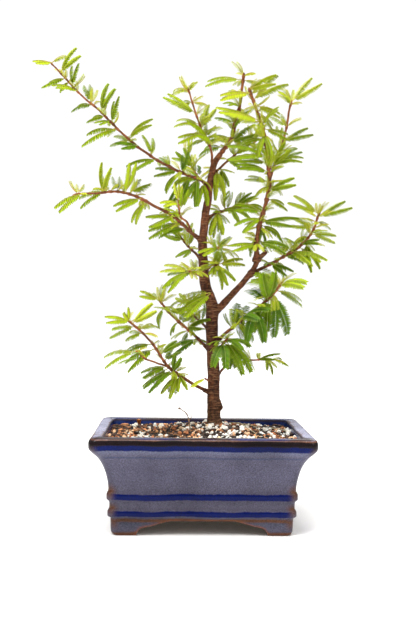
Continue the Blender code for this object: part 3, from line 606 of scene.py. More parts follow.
# Each shoot as its twigs, the first from the trunk or limb and any other from the first: a route, its
# radii at foot and tip, the usual length of its leaves, and its leaves. A leaf is how far along the
# twig it stands in hundredths, its course as seen from the front in degrees, and its reach. A twig
# with only a count has its leaves in the usual spiral.
SHOOTS = {
    "tuft_front_low": [
        ([(8, 8, 122), (12, 0, 130), (18, -8, 138)], (1.2, 0.9), 27,
         [(96, 284, 24), (90, -54, 28), (98, -44, 31), (80, 256, 17), (92, -15, 15)])],
    "tuft_front_middle": [
        ([(6, 7, 167), (7, -2, 170), (6, -9, 172)], (1.1, 0.9), 27, [(98, 194, 26), (88, 216, 28)])],
    "tuft_right_middle": [
        ([(-1, 4, 204), (6, 1, 206), (12, -4, 206)], (1.1, 0.9), 20,
         [(98, -62, 17), (90, 200, 15), (80, 60, 15)])],
    "tuft_front_high": [
        ([(0, 5, 188), (6, -3, 193), (10, -10, 193)], (1.1, 0.9), 21,
         [(98, 10, 22), (92, 88, 16), (96, -50, 18), (86, 245, 8), (80, -62, 20)])],
    "tuft_trunk_low": [
        ([(9, 8, 103), (5, 0, 106), (2, -5, 108)], (1.0, 0.8), 14, [(96, 205, 13)])],
    "shoot_upper_left": [
        ([(4, 5, 253), (-4, 0, 258), (-14, -3, 261), (-33, -9, 269), (-50, -15, 279), (-65, -21, 291),
          (-78, -27, 303), (-90, -31, 312), (-101, -35, 323), (-108, -38, 330), (-111, -39, 333)],
         (1.5, 0.7), 20,
         [(99, 193, 11), (93, 47, 20), (90, 187, 17), (88, 210, 9), (82, 172, 17), (85, 80, 14), (74, 105, 17),
          (72, 180, 17), (67, 68, 21), (64, 176, 14), (59, 80, 17), (61, 205, 10), (56, 194, 28), (49, 35, 22),
          (47, 172, 17), (43, 188, 14), (35, 98, 14), (31, 200, 23), (24, 122, 12), (17, 86, 13), (19, 178, 20),
          (10, 196, 19)])],
    "shoot_middle_left": [
        ([(-1, 4, 212), (-9, -2, 217), (-17, -6, 224), (-26, -10, 231), (-36, -14, 235), (-50, -18, 242),
          (-65, -22, 245), (-80, -26, 243), (-92, -29, 242), (-95, -30, 241)], (1.8, 0.8), 21,
         [(96, 90, 9), (93, 214, 24), (79, 200, 22), (81, 81, 19), (75, 152, 14), (70, 100, 14), (66, 70, 21),
          (62, 45, 17), (57, 68, 15), (53, 201, 22), (50, 238, 20), (35, 58, 19), (27, 192, 22), (30, 178, 14),
          (20, 197, 28), (14, 188, 23)]),
        ([(-9, -2, 217), (-13, -12, 224), (-18, -18, 228), (-19, -22, 233), (-20, -26, 239)], (1.1, 0.7), 16,
         [(98, 95, 14), (90, 185, 13), (80, 70, 15), (60, 160, 12)])],
    "shoot_lower_left": [
        ([(9, 8, 95), (-4, 0, 102), (-16, -9, 110), (-26, -17, 118), (-32, -22, 127), (-39, -27, 137),
          (-49, -33, 147), (-55, -36, 152)], (1.8, 0.8), 20,
         [(99, 100, 8), (97, 172, 18), (95, 38, 20), (92, 195, 20), (88, 15, 13), (84, 190, 14), (72, 196, 24),
          (68, 212, 28), (62, 38, 18), (56, 42, 14), (50, 198, 22), (46, 209, 25), (43, 75, 12), (40, 258, 17),
          (37, 285, 11)]),
        ([(-26, -17, 118), (-41, -34, 124), (-48, -42, 130)], (1.0, 0.7), 20, [(98, 198, 27), (70, 175, 14)])],
    "shoot_lower_left_back": [
        ([(8, 8, 126), (-6, 18, 140), (-17, 26, 149), (-27, 33, 158), (-34, 38, 167)], (1.6, 1.0), 21,
         [(98, 160, 19), (94, 110, 11), (88, 250, 17), (82, -4, 21), (62, 28, 10), (60, 235, 12), (44, 22, 14),
          (42, 245, 13), (26, 206, 25)])],
    "shoot_inner_left": [
        ([(1, 6, 184), (-5, -8, 186), (-11, -16, 188)], (1.1, 0.8), 23,
         [(98, 172, 22), (85, 196, 20), (95, 216, 25), (70, 182, 14)])],
    "shoot_top_left": [
        ([(6, 6, 267), (4, -4, 280), (0, -12, 286), (-3, -16, 291), (-6, -20, 298), (-11, -26, 311),
          (-14, -29, 319)], (1.2, 0.7), 19,
         [(98, 180, 13), (95, 55, 8), (84, 168, 9), (70, 153, 26), (60, 172, 20), (56, 64, 20), (48, 192, 19),
          (42, 70, 15), (38, 186, 13), (30, 150, 18)])],
    "shoot_leader": [
        ([(12, 8, 279), (18, 9, 287), (21, 9, 294), (23, 9, 305), (26, 9, 314), (27, 9, 323),
          (29, 8, 340)], (1.9, 1.2), 22,
         [(92, 180, 29), (97, 4, 8), (74, 158, 13), (59, 176, 12), (40, 140, 14), (35, 45, 15), (24, 178, 20),
          (14, 31, 30), (8, 176, 20)])],
    "shoot_top_back": [
        ([(5, 6, 261), (12, 13, 269), (20, 19, 277), (30, 26, 286), (42, 34, 294)], (1.3, 0.8), 21, 5)],
    "shoot_right_rise": [
        ([(39, -10, 196), (39, -10, 206), (39, -10, 213), (41, -11, 225), (44, -12, 235), (46, -13, 244),
          (47, -14, 253), (47, -15, 261), (45, -16, 276), (42, -17, 292), (37, -18, 306), (31, -20, 322)],
         (2.0, 1.2), 22,
         [(99, 18, 19), (97, 190, 24), (93, 40, 33), (80, 168, 33), (77, 50, 17), (76, -10, 21), (73, 268, 18),
          (70, 190, 20), (60, 176, 32), (56, 168, 26), (51, 170, 27), (54, 30, 9), (45, 160, 17), (44, 215, 12),
          (41, 20, 20), (36, -15, 17), (28, 165, 22), (25, 205, 20), (23, 0, 27), (21, -27, 22), (20, 285, 15),
          (11, -12, 25), (10, 190, 21), (13, 245, 12)]),
        ([(47, -14, 251), (50, -2, 263), (54, 6, 273), (57, 12, 279), (63, 20, 299), (66, 24, 316),
          (68, 26, 324)], (1.4, 1.0), 22,
         [(98, 44, 30), (95, 140, 12), (74, 120, 16), (60, 25, 26), (48, 40, 14), (38, 135, 10), (32, 32, 25),
          (26, 58, 18)])],
    "shoot_right_reach": [
        ([(34, -7, 187), (45, 0, 192), (54, 6, 197), (63, 12, 202), (73, 18, 208), (83, 24, 218), (88, 28, 226),
          (91, 31, 235), (95, 34, 243)], (1.7, 0.9), 21,
         [(92, 148, 25), (88, 25, 30), (84, -8, 13), (78, 160, 19), (72, -8, 22), (68, 206, 13), (59, 12, 12),
          (56, -45, 16), (46, 150, 15), (38, -8, 19), (30, -52, 15), (22, -25, 17)])],
    "shoot_right_back": [
        ([(1, 4, 227), (6, 10, 232), (21, 24, 239), (35, 36, 243)], (1.5, 0.9), 21, 6)],
    "shoot_lower_right": [
        ([(8, 8, 133), (16, 2, 141), (27, -6, 151), (40, -14, 162), (49, -20, 170), (56, -26, 180)],
         (1.7, 0.9), 26,
         [(97, 2, 16), (90, -22, 23), (86, 283, 33), (80, 256, 25), (76, 92, 20), (72, 132, 16), (66, -48, 15),
          (55, -62, 19), (45, 20, 14), (30, 62, 20)])],
    "shoot_lower_right_back": [
        ([(9, 8, 105), (19, 18, 116), (38, 30, 120), (58, 42, 120)], (1.3, 0.7), 20,
         [(98, -15, 14), (88, -60, 13), (78, 15, 14), (66, 160, 12)])],
    "shoot_back_low": [
        ([(7, 8, 140), (2, 22, 147), (-6, 40, 155), (-10, 56, 166)], (1.4, 0.8), 22, 4)],
    "shoot_back_middle": [
        ([(0, 5, 195), (-6, 16, 203), (-14, 30, 212), (-22, 42, 224)], (1.4, 0.8), 22, 5)],
    "shoot_back_high": [
        ([(3, 4, 244), (0, 14, 256), (-8, 26, 268), (-14, 38, 284)], (1.3, 0.8), 21, 5)],
}


def trunk_radius(z):
    """The trunk's radius at a height, even between the heights given."""
    for (low, r_low), (high, r_high) in zip(TRUNK_RADII, TRUNK_RADII[1:]):
        if z <= high:
            return r_low + (r_high - r_low) * max(0.0, (z - low) / (high - low))
    return TRUNK_RADII[-1][1]


def taper(points, radii):
    """A radius for each point, even from the first radius to the second."""
    last = len(points) - 1
    return [radii[0] + (radii[1] - radii[0]) * i / last for i in range(len(points))]


def tubes(name, routes, sides):
    """Stems along routes of (points, radii), closed at both ends, as one mesh. Their sides are even."""
    start()
    bpy.ops.curve.primitive_nurbs_path_add()
    stems = bpy.context.object
    stems.name = name
    data = stems.data
    data.splines.clear()
    data.bevel_depth = MM
    data.bevel_resolution = sides // 2 - 2
    data.use_fill_caps = True
    for points, radii in routes:
        spline = data.splines.new("POLY")
        spline.points.add(len(points) - 1)
        for point, at, radius in zip(spline.points, points, radii):
            point.co = (*(at * MM), 1)
            point.radius = radius
    bpy.ops.object.convert(target="MESH")
    stems = bpy.context.object
    edit_all()
    bpy.ops.mesh.remove_doubles(threshold=0.002 * MM)
    face_out()
    return stems


def join(name, objects):
    pick(*objects)
    bpy.ops.object.join()
    joined = bpy.context.object
    joined.name = name
    return joined


def bark_finish():
    """Reddish brown bark, duller near the mix: fine pale lines round it, and long soft cracks."""
    made, tree, shader, space = new_material("bark")
    youth = attribute(tree, "youth")
    level = math_node(tree, "DIVIDE", height_in(tree, space), 280 * MM)
    old = ramp(tree, level,
               [(0.24, (74, 51, 31)), (0.36, (88, 50, 29)), (0.55, (86, 47, 29)), (1.0, (100, 55, 35))])
    young = ramp(tree, grain(tree, space, 60, 2), [(0.35, (120, 66, 36)), (0.65, (164, 98, 54))])
    patches = ramp(tree, grain(tree, space, 160, 5, 0.65), [(0.32, 0.42), (0.5, 0.9), (0.7, 1.55)])
    flecks = ramp(tree, grain(tree, space, 1, 3, 0.6, (520, 520, 360)),
                  [(0.38, 0.6), (0.5, 1.0), (0.63, 1.6)])
    wood = dapple(tree, dapple(tree, mix(tree, youth, old, young), patches), flecks)
    # The lines are fainter on young wood.
    lines = grain(tree, space, 1, 3, 0.6, (170, 170, 1150))
    pale = ramp(tree, lines, [(0.52, 0.0), (0.64, 1.0)])
    most = math_node(tree, "SUBTRACT", 0.6, math_node(tree, "MULTIPLY", youth, 0.45))
    wood = mix(tree, math_node(tree, "MULTIPLY", pale, most), wood, (162, 116, 82))
    tree.links.new(wood, shader.inputs["Base Color"])
    shader.inputs["Roughness"].default_value = 0.72
    shader.inputs["Specular IOR Level"].default_value = 0.25
    rings = relief(tree, shader, lines, 0.9, 0.7 * MM)
    cracks = relief(tree, shader, grain(tree, space, 1, 4, 0.6, (900, 900, 160)), 0.45, 0.4 * MM, rings)
    relief(tree, shader, grain(tree, space, 2600, 3), 0.25, 0.1 * MM, cracks)
    return made


bark = bark_finish()
trunk_points = smooth_route(TRUNK)
limb_points = smooth_route(LIMB)
flare = [1 + TRUNK_FLARE * math.exp(-(((p.z - FLARE_HEIGHT) / 3.4) ** 2)) for p in trunk_points]
trunk_girth = [f * trunk_radius(p.z) + BARK_EXTRA for f, p in zip(flare, trunk_points)]
limb_girth = [radius + BARK_EXTRA / 2 for radius in taper(limb_points, LIMB_RADII)]
blanks = [tubes("trunk", [(trunk_points, trunk_girth)], 20), tubes("limb", [(limb_points, limb_girth)], 12)]
for name, shoot in SHOOTS.items():
    # The leader runs on from the trunk's own tip, without a collar.
    if name == "shoot_leader":
        continue
    route, radii = shoot[0][:2]
    course = smooth_route(route)
    buried = LIMB_RADII[0] if name in LIMB_SHOOTS else trunk_radius(course[0].z)
    course = course[:round(buried + 3.5) + 3]
    past = [max(0, i - 0.6 * buried) for i in range(len(course))]
    swell = [radii[0] * (1.05 + 0.75 * math.exp(-(reach / 2.1) ** 2)) for reach in past]
    blanks.append(tubes("collar", [(course, swell)], 10))
start()
bpy.ops.mesh.primitive_uv_sphere_add(segments=16, ring_count=10, radius=1, location=Vector(KNOB) * MM)
knob = bpy.context.object
knob.scale = Vector(KNOB_RADII) * MM
place(knob)
edit_all()
bpy.ops.mesh.bisect(plane_co=((KNOB[0] + 2.6) * MM, 0, (KNOB[2] + 1) * MM), plane_no=(1, 0, 0.35),
                    use_fill=True, clear_outer=True)
bpy.ops.object.mode_set(mode="OBJECT")
trunk = join("trunk_bark", blanks + [knob])
apply_modifier(trunk, "REMESH", mode="VOXEL", voxel_size=WOOD_VOXEL * MM)
apply_modifier(trunk, "SMOOTH", factor=0.5, iterations=5)

# Soft lumps all over, and fine rings round the wood that are stronger low down.
normals = [v.normal.copy() for v in trunk.data.vertices]
for vert, normal in zip(trunk.data.vertices, normals):
    at = vert.co / MM
    low = clamp((130 - at.z) / 60)
    lump = 0.28 * noise.noise(at * 0.16) + 0.16 * noise.noise(Vector((at.x * 0.5, at.y * 0.5, at.z * 0.14)))
    ring = 0.16 * noise.noise(Vector((at.x * 0.12, at.y * 0.12, at.z * 0.75))) * (0.5 + 0.5 * low)
    vert.co += (lump + ring) * MM * normal
set_attribute(trunk.data, "youth", [min(0.5, clamp((v.co.z / MM - 200) / 160)) for v in trunk.data.vertices])
trunk.data.materials.clear()
trunk.data.materials.append(bark)
pick(trunk)
bpy.ops.object.shade_smooth()
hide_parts("trunk")
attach(trunk, "root")


# Twigs. This year's and last year's growth from the trunk and limb: thin, orange to red brown, with a
# slight bend and a swollen joint wherever a leaf stands, and a blunt bud at the tip.

TWIG_SEED = 5
TWIG_SIDES = 8
TWIG_GIRTH = 0.82


def leaf_shares(wanted):
    """How far along its twig each leaf stands, as a share: as it is set, or evenly over the outer part."""
    if isinstance(wanted, int):
        return [0.35 + 0.65 * (i + 0.5) / wanted for i in range(wanted)]
    return [leaf[0] / 100 for leaf in wanted]


def twig_stem(points, radii, shares, rng):
    """A twig's own points and radii, with its bends, its joints and its bud."""
    width = [TWIG_GIRTH * radius for radius in taper(points, radii)]
    joints = [share * (len(points) - 1) for share in shares]
    drift = Vector([rng.uniform(0, 50) for _ in range(3)])
    stem, girth = [], []
    for i, (point, radius) in enumerate(zip(points, width)):
        bend = Vector([noise.noise(point * 0.17 + drift * k) for k in (1, 2, 3)]) * 0.35
        swell = sum(0.45 * math.exp(-((i - joint) / 0.9) ** 2) for joint in joints)
        lump = 0.07 * noise.noise(point * 0.6 + drift)
        stem.append(point + bend if i > 3 else point)
        girth.append(radius * (1 + min(swell, 0.55) + lump) * (0.9 if i > len(points) - 3 else 1))
    tip = (points[-1] - points[-2]).normalized()
    stem += [stem[-1] + 0.5 * tip, stem[-1] + tip]
    girth += [0.75 * girth[-1], 0.35 * girth[-1]]
    return stem, girth


def search_tree(points):
    """A search tree that finds the nearest of the points."""
    tree = KDTree(len(points))
    for i, point in enumerate(points):
        tree.insert(point, i)
    tree.balance()
    return tree


def mark_by_nearest(mesh, name, marked):
    """An attribute that takes its value from the nearest of the (point, value) pairs."""
    nearest = search_tree([point * MM for point, _ in marked])
    set_attribute(mesh, name, [marked[nearest.find(v.co)[1]][1] for v in mesh.vertices])


rng = random.Random(TWIG_SEED)
stems, youths = [], []
for name, shoot in SHOOTS.items():
    for route, radii, _, wanted in shoot:
        points = smooth_route(route)
        if name == "shoot_leader":
            points = trunk_points[-4:-1] + points
        stem, girth = twig_stem(points, radii, leaf_shares(wanted), rng)
        stems.append((stem, girth))
        fresh = 0.3 if radii[0] < 1.3 else 0
        youths += [(p, min(1.0, 0.25 + 0.75 * i / len(stem) + fresh)) for i, p in enumerate(stem)]
twigs = tubes("twigs", stems, TWIG_SIDES)
mark_by_nearest(twigs.data, "youth", youths)
twigs.data.materials.append(bark)
pick(twigs)
bpy.ops.object.shade_smooth()
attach(twigs, "root")


# Leaves. Each has a short stalk that forks into two arched blades, and each blade some ten to eighteen
# pairs of small thin leaflets, shingled forwards along its rib, fewer on a young leaf. New leaves at the
# tips are small and yellow green, old ones deep green and larger. Each shoot's leaves are one piece.

Leaf = namedtuple("Leaf", "shoot foot axes ribs length share")

GOLDEN_TURN = 137.5
LONGEST_LEAF = 36
LEAF_SEED = 7
BLADE_SEED = 300
TRIES = 36
SPREAD = (10, 22)
ARCH = (25, 70)
FACE_TILT = (30, 65)
RIB_STEPS = 12
# The room a leaf keeps from wood and other shoots' leaves, from its own shoot's, and from its own twigs.
LEAF_ROOM = 3.2
NEIGHBOUR_ROOM = 1.2
TWIG_ROOM = 0.3
# Half a blade's width, as so much and a share of the leaf's length, and how far its leaflets fold down.
FOLDED_HALF_WIDTH = (0.9, 0.06)
FOLDED = (30, 54)
OPEN_HALF_WIDTH = (1.3, 0.105)
OPEN = (4, 20)
OPEN_LEAVES = ("tuft_front_low", "tuft_front_middle", "shoot_lower_right")
LEAFLET_SPACING = (0.96, 0.02)
LEAFLET_SHAPE = [(0, 0.4), (0.34, 0.5), (0.8, 0.27), (1, 0)]
LEAFLET_THICKNESS = 0.16
# Half-grown leaves.
YOUNG_SEED = 4
YOUNG_LENGTH = (7, 13)
YOUNG_TILT = (20, 60)
YOUNG_ROOM = 2.0
YOUNG_TRIES = 8
SPARSE_SHOOTS = ("shoot_upper_left", "shoot_middle_left", "shoot_lower_left", "shoot_lower_right_back")
BARE_SHOOTS = ("tuft_front_middle", "tuft_trunk_low")
# Leaves that hang between others, where solids as thick as the CAD's would touch: for each shoot and one
# of its twigs, the leaves as above.
LATE_SEED = 12
LATE_ROOM = 1.6
LATE_LEAVES = {
    ("shoot_upper_left", 0): [(5, 268, 20), (9, 254, 23), (13, 242, 21), (7, 236, 15), (18, 228, 20)],
    ("shoot_top_back", 0): [(10, 262, 20), (16, 276, 21), (22, 290, 17), (13, 250, 15)],
    ("shoot_right_back", 0): [(26, 284, 18), (32, 268, 19), (38, 255, 14)],
    ("shoot_lower_right", 0): [
        (38, -58, 20), (50, 256, 20), (60, 268, 23), (96, 160, 20), (92, 128, 18), (88, 140, 16)],
    ("shoot_right_reach", 0): [(62, -68, 24), (50, -34, 19), (46, -24, 20)],
    ("shoot_lower_left", 0): [(44, 215, 24), (41, 205, 17), (38, 238, 19)],
    ("shoot_right_rise", 0): [(90, -14, 20), (86, -34, 16)],
    ("shoot_right_rise", 1): [(30, 12, 22)]}
# How much younger than the others the late and the half-grown leaves look.
PALER = {"grown": 0, "late": 0.1, "young": 0.3}
# How old each shoot's leaves look, from 0 for the palest to 1 for the deepest green.
LEAF_AGE = {
    "tuft_front_low": 1.0, "tuft_front_middle": 0.62, "tuft_right_middle": 0.55, "tuft_front_high": 0.75,
    "tuft_trunk_low": 0.5, "shoot_upper_left": 0.61, "shoot_middle_left": 0.52, "shoot_lower_left": 0.62,
    "shoot_lower_left_back": 0.72, "shoot_inner_left": 0.62, "shoot_top_left": 0.46, "shoot_leader": 0.5,
    "shoot_top_back": 0.52, "shoot_right_rise": 0.5, "shoot_right_reach": 0.62, "shoot_right_back": 0.62,
    "shoot_lower_right": 0.92, "shoot_lower_right_back": 0.72, "shoot_back_low": 0.7, "shoot_back_middle": 0.65,
    "shoot_back_high": 0.6}


def leaf_frame(along, out, tilt):
    """The leaf's own axes: along it, to its left, and out of its upper face, which tilts outwards."""
    face = Vector((0, 0, 1)) * math.cos(tilt) + out * math.sin(tilt)
    face = (face - face.dot(along) * along).normalized()
    return along, face.cross(along), face


def leaf_ribs(foot, axes, length, rng):
    """The two ribs of a leaf as points, which spread from its stalk and arch over."""
    along, left, face = axes
    spread = math.radians(rng.uniform(*SPREAD))
    arch = math.radians(rng.uniform(*ARCH))
    fork = foot + 0.12 * length * (along + 0.4 * face)
    ribs = []
    for side in (1, -1):
        reach = 0.92 * length * rng.uniform(0.88, 1.0)
        points = [fork]
        for step in range(RIB_STEPS):
            t = (step + 0.5) / RIB_STEPS
            turn = side * spread * (1.1 - 0.8 * t)
            dip = arch * (t - 0.42)
            course = math.cos(dip) * (math.cos(turn) * along + math.sin(turn) * left) - math.sin(dip) * face
            points.append(points[-1] + reach / RIB_STEPS * course)
        ribs.append(points)
    return ribs


def open_leaf(shoot, foot, aim, share, tilts, rng):
    """A leaf on its foot, whose aim is its course, outward side and length."""
    along, out, length = aim
    axes = leaf_frame(along, out, math.radians(rng.uniform(*tilts)))
    return Leaf(shoot, foot, axes, leaf_ribs(foot, axes, length, rng), length, share)


def set_leaf(leaf, usual, attempt, rng):
    """The aim of a leaf that is listed. Tries swing it in depth."""
    share, angle, reach = leaf
    angle = math.radians(angle)
    length = max(1.05 * reach, min(usual * rng.uniform(0.9, 1.1), 1.5 * reach))
    depth = min(math.acos(reach / length) + math.radians(8) * (attempt // 2), math.radians(62))
    depth *= 1 if (attempt + int(share)) % 2 else -1
    length = min(reach / math.cos(depth), LONGEST_LEAF)
    along = Vector((math.cos(angle) * math.cos(depth), -math.sin(depth), math.sin(angle) * math.cos(depth)))
    out = Vector((0.3 * along.x, -1, 0)) if attempt % 4 < 2 else Vector((along.x, -0.4, 0))
    return along, out.normalized(), length


def spiral_leaf(heading, usual, first, index, share, attempt, rng):
    """The aim of a leaf that follows the spiral. Tries swing it round."""
    swing = 29 * ((attempt + 1) // 2) * (1 if attempt % 2 else -1)
    turn = math.radians(first + GOLDEN_TURN * index + swing)
    level = heading.cross(Vector((0, 0, 1))).normalized()
    out = math.cos(turn) * level + math.sin(turn) * level.cross(heading)
    lean = math.radians(58 - 24 * share)
    along = (math.cos(lean) * heading + math.sin(lean) * out + 0.1 * Vector((0, 0, 1))).normalized()
    outward = Vector((out.x, out.y, 0)) if out.xy.length > 0.1 else heading
    return along, outward.normalized(), usual * rng.uniform(0.85, 1.15) * (1.1 - 0.3 * share)


def rib_points(leaf, width):
    """Points along both ribs, each with a share of the leaf's length as its radius."""
    return [(p, width * leaf.length) for rib in leaf.ribs for p in rib[3::2]]


def clear_of(ribs, others, room):
    """Whether the ribs keep that much room from every other point, less each one's own radius."""
    for rib in ribs:
        for at, point in enumerate(rib[2:]):
            reach = room * min(1, 0.4 + 0.15 * at)
            for other, radius in others:
                if (point - other).length < reach + radius:
                    return False
    return True


def grow_leaves():
    """The leaves of every shoot, each turned clear of the rest."""
    paths = {name: [smooth_route(twig[0]) for twig in shoot] for name, shoot in SHOOTS.items()}
    wood = trunk_girths + [(p, 2.3) for p in smooth_route(LIMB, 4)]
    near_twigs = {name: [(p, 1.3) for path in found for p in path[::3]] for name, found in paths.items()}
    blades = {name: [] for name in SHOOTS}
    leaves = []
    for index, (name, shoot) in enumerate(SHOOTS.items()):
        rng = random.Random(LEAF_SEED + index)
        around = wood + [p for other in SHOOTS if other != name for p in near_twigs[other]]
        around += [p for other in blades if other != name for p in blades[other]]
        for path, (_, _, usual, wanted) in zip(paths[name], shoot):
            first = rng.uniform(0, 360)
            for i, share in enumerate(leaf_shares(wanted)):
                at = min(round(share * (len(path) - 1)), len(path) - 2)
                heading = (path[at + 1] - path[at]).normalized()
                for attempt in range(TRIES):
                    if isinstance(wanted, int):
                        aim = spiral_leaf(heading, usual, first, i, share, attempt, rng)
                    else:
                        aim = set_leaf(wanted[i], usual, attempt, rng)
                    leaf = open_leaf(name, path[at], aim, share, FACE_TILT, rng)
                    if (clear_of(leaf.ribs, around, LEAF_ROOM)
                            and clear_of(leaf.ribs, blades[name], NEIGHBOUR_ROOM)
                            and clear_of(leaf.ribs, near_twigs[name], TWIG_ROOM)):
                        blades[name] += rib_points(leaf, 0.14)
                        leaves.append(leaf)
                        break
    return leaves


def late_leaves(leaves, rng):
    """The leaves that hang between the others, each where it keeps clear of them."""
    crowd = [p for leaf in leaves for p in rib_points(leaf, 0.09)] + trunk_girths
    found = []
    for (name, twig), settings in LATE_LEAVES.items():
        path = smooth_route(SHOOTS[name][twig][0])
        for setting in settings:
            share, _, reach = setting
            foot = path[round(share / 100 * (len(path) - 1))]
            for attempt in range(TRIES):
                aim = set_leaf(setting, reach, attempt, rng)
                leaf = open_leaf(name, foot, aim, share / 100, FACE_TILT, rng)
                if clear_of(leaf.ribs, crowd, LATE_ROOM):
                    found.append(leaf)
                    crowd += rib_points(leaf, 0.09)
                    break
    return found


def young_leaves(leaves, rng):
    """Half-grown leaves in the axils of the others, each clear of all that is there already."""
    crowd = [p for leaf in leaves for rib in leaf.ribs for p in rib[2::2]] + [p for p, _ in youths[::3]]
    nearest = search_tree(crowd)
    found = []
    for elder in leaves + [leaf for leaf in leaves if leaf.shoot not in SPARSE_SHOOTS]:
        if elder.shoot in BARE_SHOOTS:
            continue
        for _ in range(YOUNG_TRIES):
            turned = Matrix.Rotation(rng.uniform(0, math.tau), 3, Vector((0, 0, 1))) @ elder.axes[0]
            along = (turned + Vector((0, 0, rng.uniform(-0.2, 1.1)))).normalized()
            length = rng.uniform(*YOUNG_LENGTH) * (1 if elder.shoot in SPARSE_SHOOTS else 1.3)
            out = Vector((along.x, along.y, 0)).normalized()
            leaf = open_leaf(elder.shoot, elder.foot, (along, out, length), elder.share, YOUNG_TILT, rng)
            if all(nearest.find(p)[2] > YOUNG_ROOM for rib in leaf.ribs for p in rib[4::2]):
                found.append(leaf)
                crowd += [p for rib in leaf.ribs for p in rib[2::2]]
                nearest = search_tree(crowd)
                break
    return found


def rib_place(rib, t):
    """The point at a share of the rib's length, and the direction there."""
    last = len(rib) - 1
    at = min(int(t * last), last - 1)
    step = rib[at + 1] - rib[at]
    return rib[at] + (t * last - at) * step, step.normalized()


def model_leaflet():
    """One leaflet a millimetre long and wide: its vertices and faces, and which are its pale underside."""
    start()
    bpy.ops.mesh.primitive_grid_add(x_subdivisions=3, y_subdivisions=2, size=1)
    leaflet = bpy.context.object
    for vert in leaflet.data.vertices:
        x, half = LEAFLET_SHAPE[round(3 * (vert.co.x + 0.5))]
        side = round(2 * vert.co.y)
        curve = 0.05 * math.sin(math.pi * x)
        vert.co = (x, side * half + curve, 0.1 * math.sin(math.pi * x) - (0.1 * half if side else 0))
    edit_all()
    bpy.ops.mesh.duplicate()
    bpy.ops.mesh.flip_normals()
    bpy.ops.object.mode_set(mode="OBJECT")
    # The copy is the underside. Its middle line goes down, and the edges close again.
    top = len(leaflet.data.vertices) // 2
    for vert in leaflet.data.vertices[top:]:
        x, y, _ = vert.co
        if abs(y - 0.05 * math.sin(math.pi * x)) < 0.01 and 0.01 < x < 0.99:
            vert.co.z -= LEAFLET_THICKNESS
    edit_all()
    bpy.ops.mesh.remove_doubles(threshold=0.0005)
    bpy.ops.mesh.dissolve_degenerate(threshold=0.0005)
    bpy.ops.mesh.quads_convert_to_tris()
    bpy.ops.object.mode_set(mode="OBJECT")
    leaflet.data.update()
    under = np.array([1.0 if p.normal.z < 0 else 0.0 for p in leaflet.data.polygons])
    return take_shape(leaflet), under


def leaflet_places(leaf, rib, half_width, fold, half_grown, rng):
    """Where the leaflets of one blade go: in pairs along the rib, leaning forwards, smaller at both ends."""
    rib_length = sum((b - a).length for a, b in zip(rib, rib[1:]))
    spacing = (LEAFLET_SPACING[0] + LEAFLET_SPACING[1] * leaf.length) * (0.8 if half_grown else 1)
    pairs = max(6, round(rib_length / spacing))
    breadth = spacing * (0.62 if half_grown else 1.12)
    found = []
    for pair in range(pairs):
        t = 0.04 + 0.955 * (pair + 0.5) / pairs
        point, course = rib_place(rib, t)
        across = leaf.axes[2].cross(course).normalized()
        up = course.cross(across)
        lean = math.radians(70 - 12 * t - 26 * t ** 4 + rng.uniform(-3, 3))
        reach = half_width * (0.5 + 0.5 * min(1, t / 0.22)) * (1 - 0.6 * max(0, (t - 0.55) / 0.45) ** 1.5)
        for side in (1, -1):
            droop = fold + math.radians(rng.uniform(-5, 5))
            out = math.cos(droop) * side * across - math.sin(droop) * up
            line = (math.cos(lean) * course + math.sin(lean) * out).normalized()
            face = math.cos(droop) * up + math.sin(droop) * side * across
            face = (face - face.dot(line) * line).normalized()
            face = Matrix.Rotation(side * math.radians(17), 3, line) @ face
            wide = face.cross(line) * side
            size = reach * rng.uniform(0.93, 1.05) / max(0.6, math.sin(lean) * math.cos(fold))
            turn = Matrix((line * size, wide * side * breadth, face)).transposed().to_4x4()
            found.append(Matrix.Translation((point + 0.12 * line) * MM) @ Matrix.Scale(MM, 4) @ turn)
    return found


def leaf_finish():
    """Thin leaf that lets the light through: yellow green to deep green, paler below, with pale ribs."""
    made, tree, shader, space = new_material("leaf")
    age = attribute(tree, "age")
    top = ramp(tree, age, [(0.0, (224, 226, 68)), (0.3, (194, 209, 38)), (0.6, (154, 178, 14)),
                           (0.85, (106, 144, 12)), (1.0, (66, 112, 14))])
    below = ramp(tree, age, [(0.0, (224, 230, 96)), (0.5, (178, 200, 52)), (1.0, (100, 150, 54))])
    blade = mix(tree, attribute(tree, "underside"), top, below)
    mottle = ramp(tree, grain(tree, space, 900, 3), [(0.3, 0.8), (0.7, 1.18)])
    # Painted shade and light: each leaflet is darkened along its forward edge, where the next one overlaps it,
    # and painted lighter along its other edge.
    shade = ramp(tree, attribute(tree, "shade"), [(0.15, 1.55), (0.4, 1.1), (0.62, 0.55), (0.85, 0.2)])
    blade = dapple(tree, dapple(tree, blade, mottle), shade)
    # Painted light: the tips of the leaflets are paler and yellower, as if lit through from behind.
    blade = mix(tree, math_node(tree, "MULTIPLY", attribute(tree, "tip"), 0.35), blade, (206, 206, 84))
    rib = ramp(tree, age, [(0.0, (216, 186, 98)), (0.35, (206, 194, 90)), (1.0, (150, 168, 72))])
    tint = mix(tree, attribute(tree, "rib"), blade, rib)
    tree.links.new(tint, shader.inputs["Base Color"])
    rough = ramp(tree, grain(tree, space, 500), [(0.3, 0.38), (0.7, 0.55)])
    tree.links.new(rough, shader.inputs["Roughness"])
    shader.inputs["Specular IOR Level"].default_value = 0.18
    relief(tree, shader, grain(tree, space, 2200, 2), 0.2, 0.1 * MM)
    through = add(tree, "BsdfTranslucent", {"Color": mix(tree, 0.5, tint, (216, 226, 64))})
    both = add(tree, "MixShader", {0: 0.4, 1: shader.outputs[0], 2: through})
    tree.links.new(both, tree.nodes["Material Output"].inputs["Surface"])
    return made


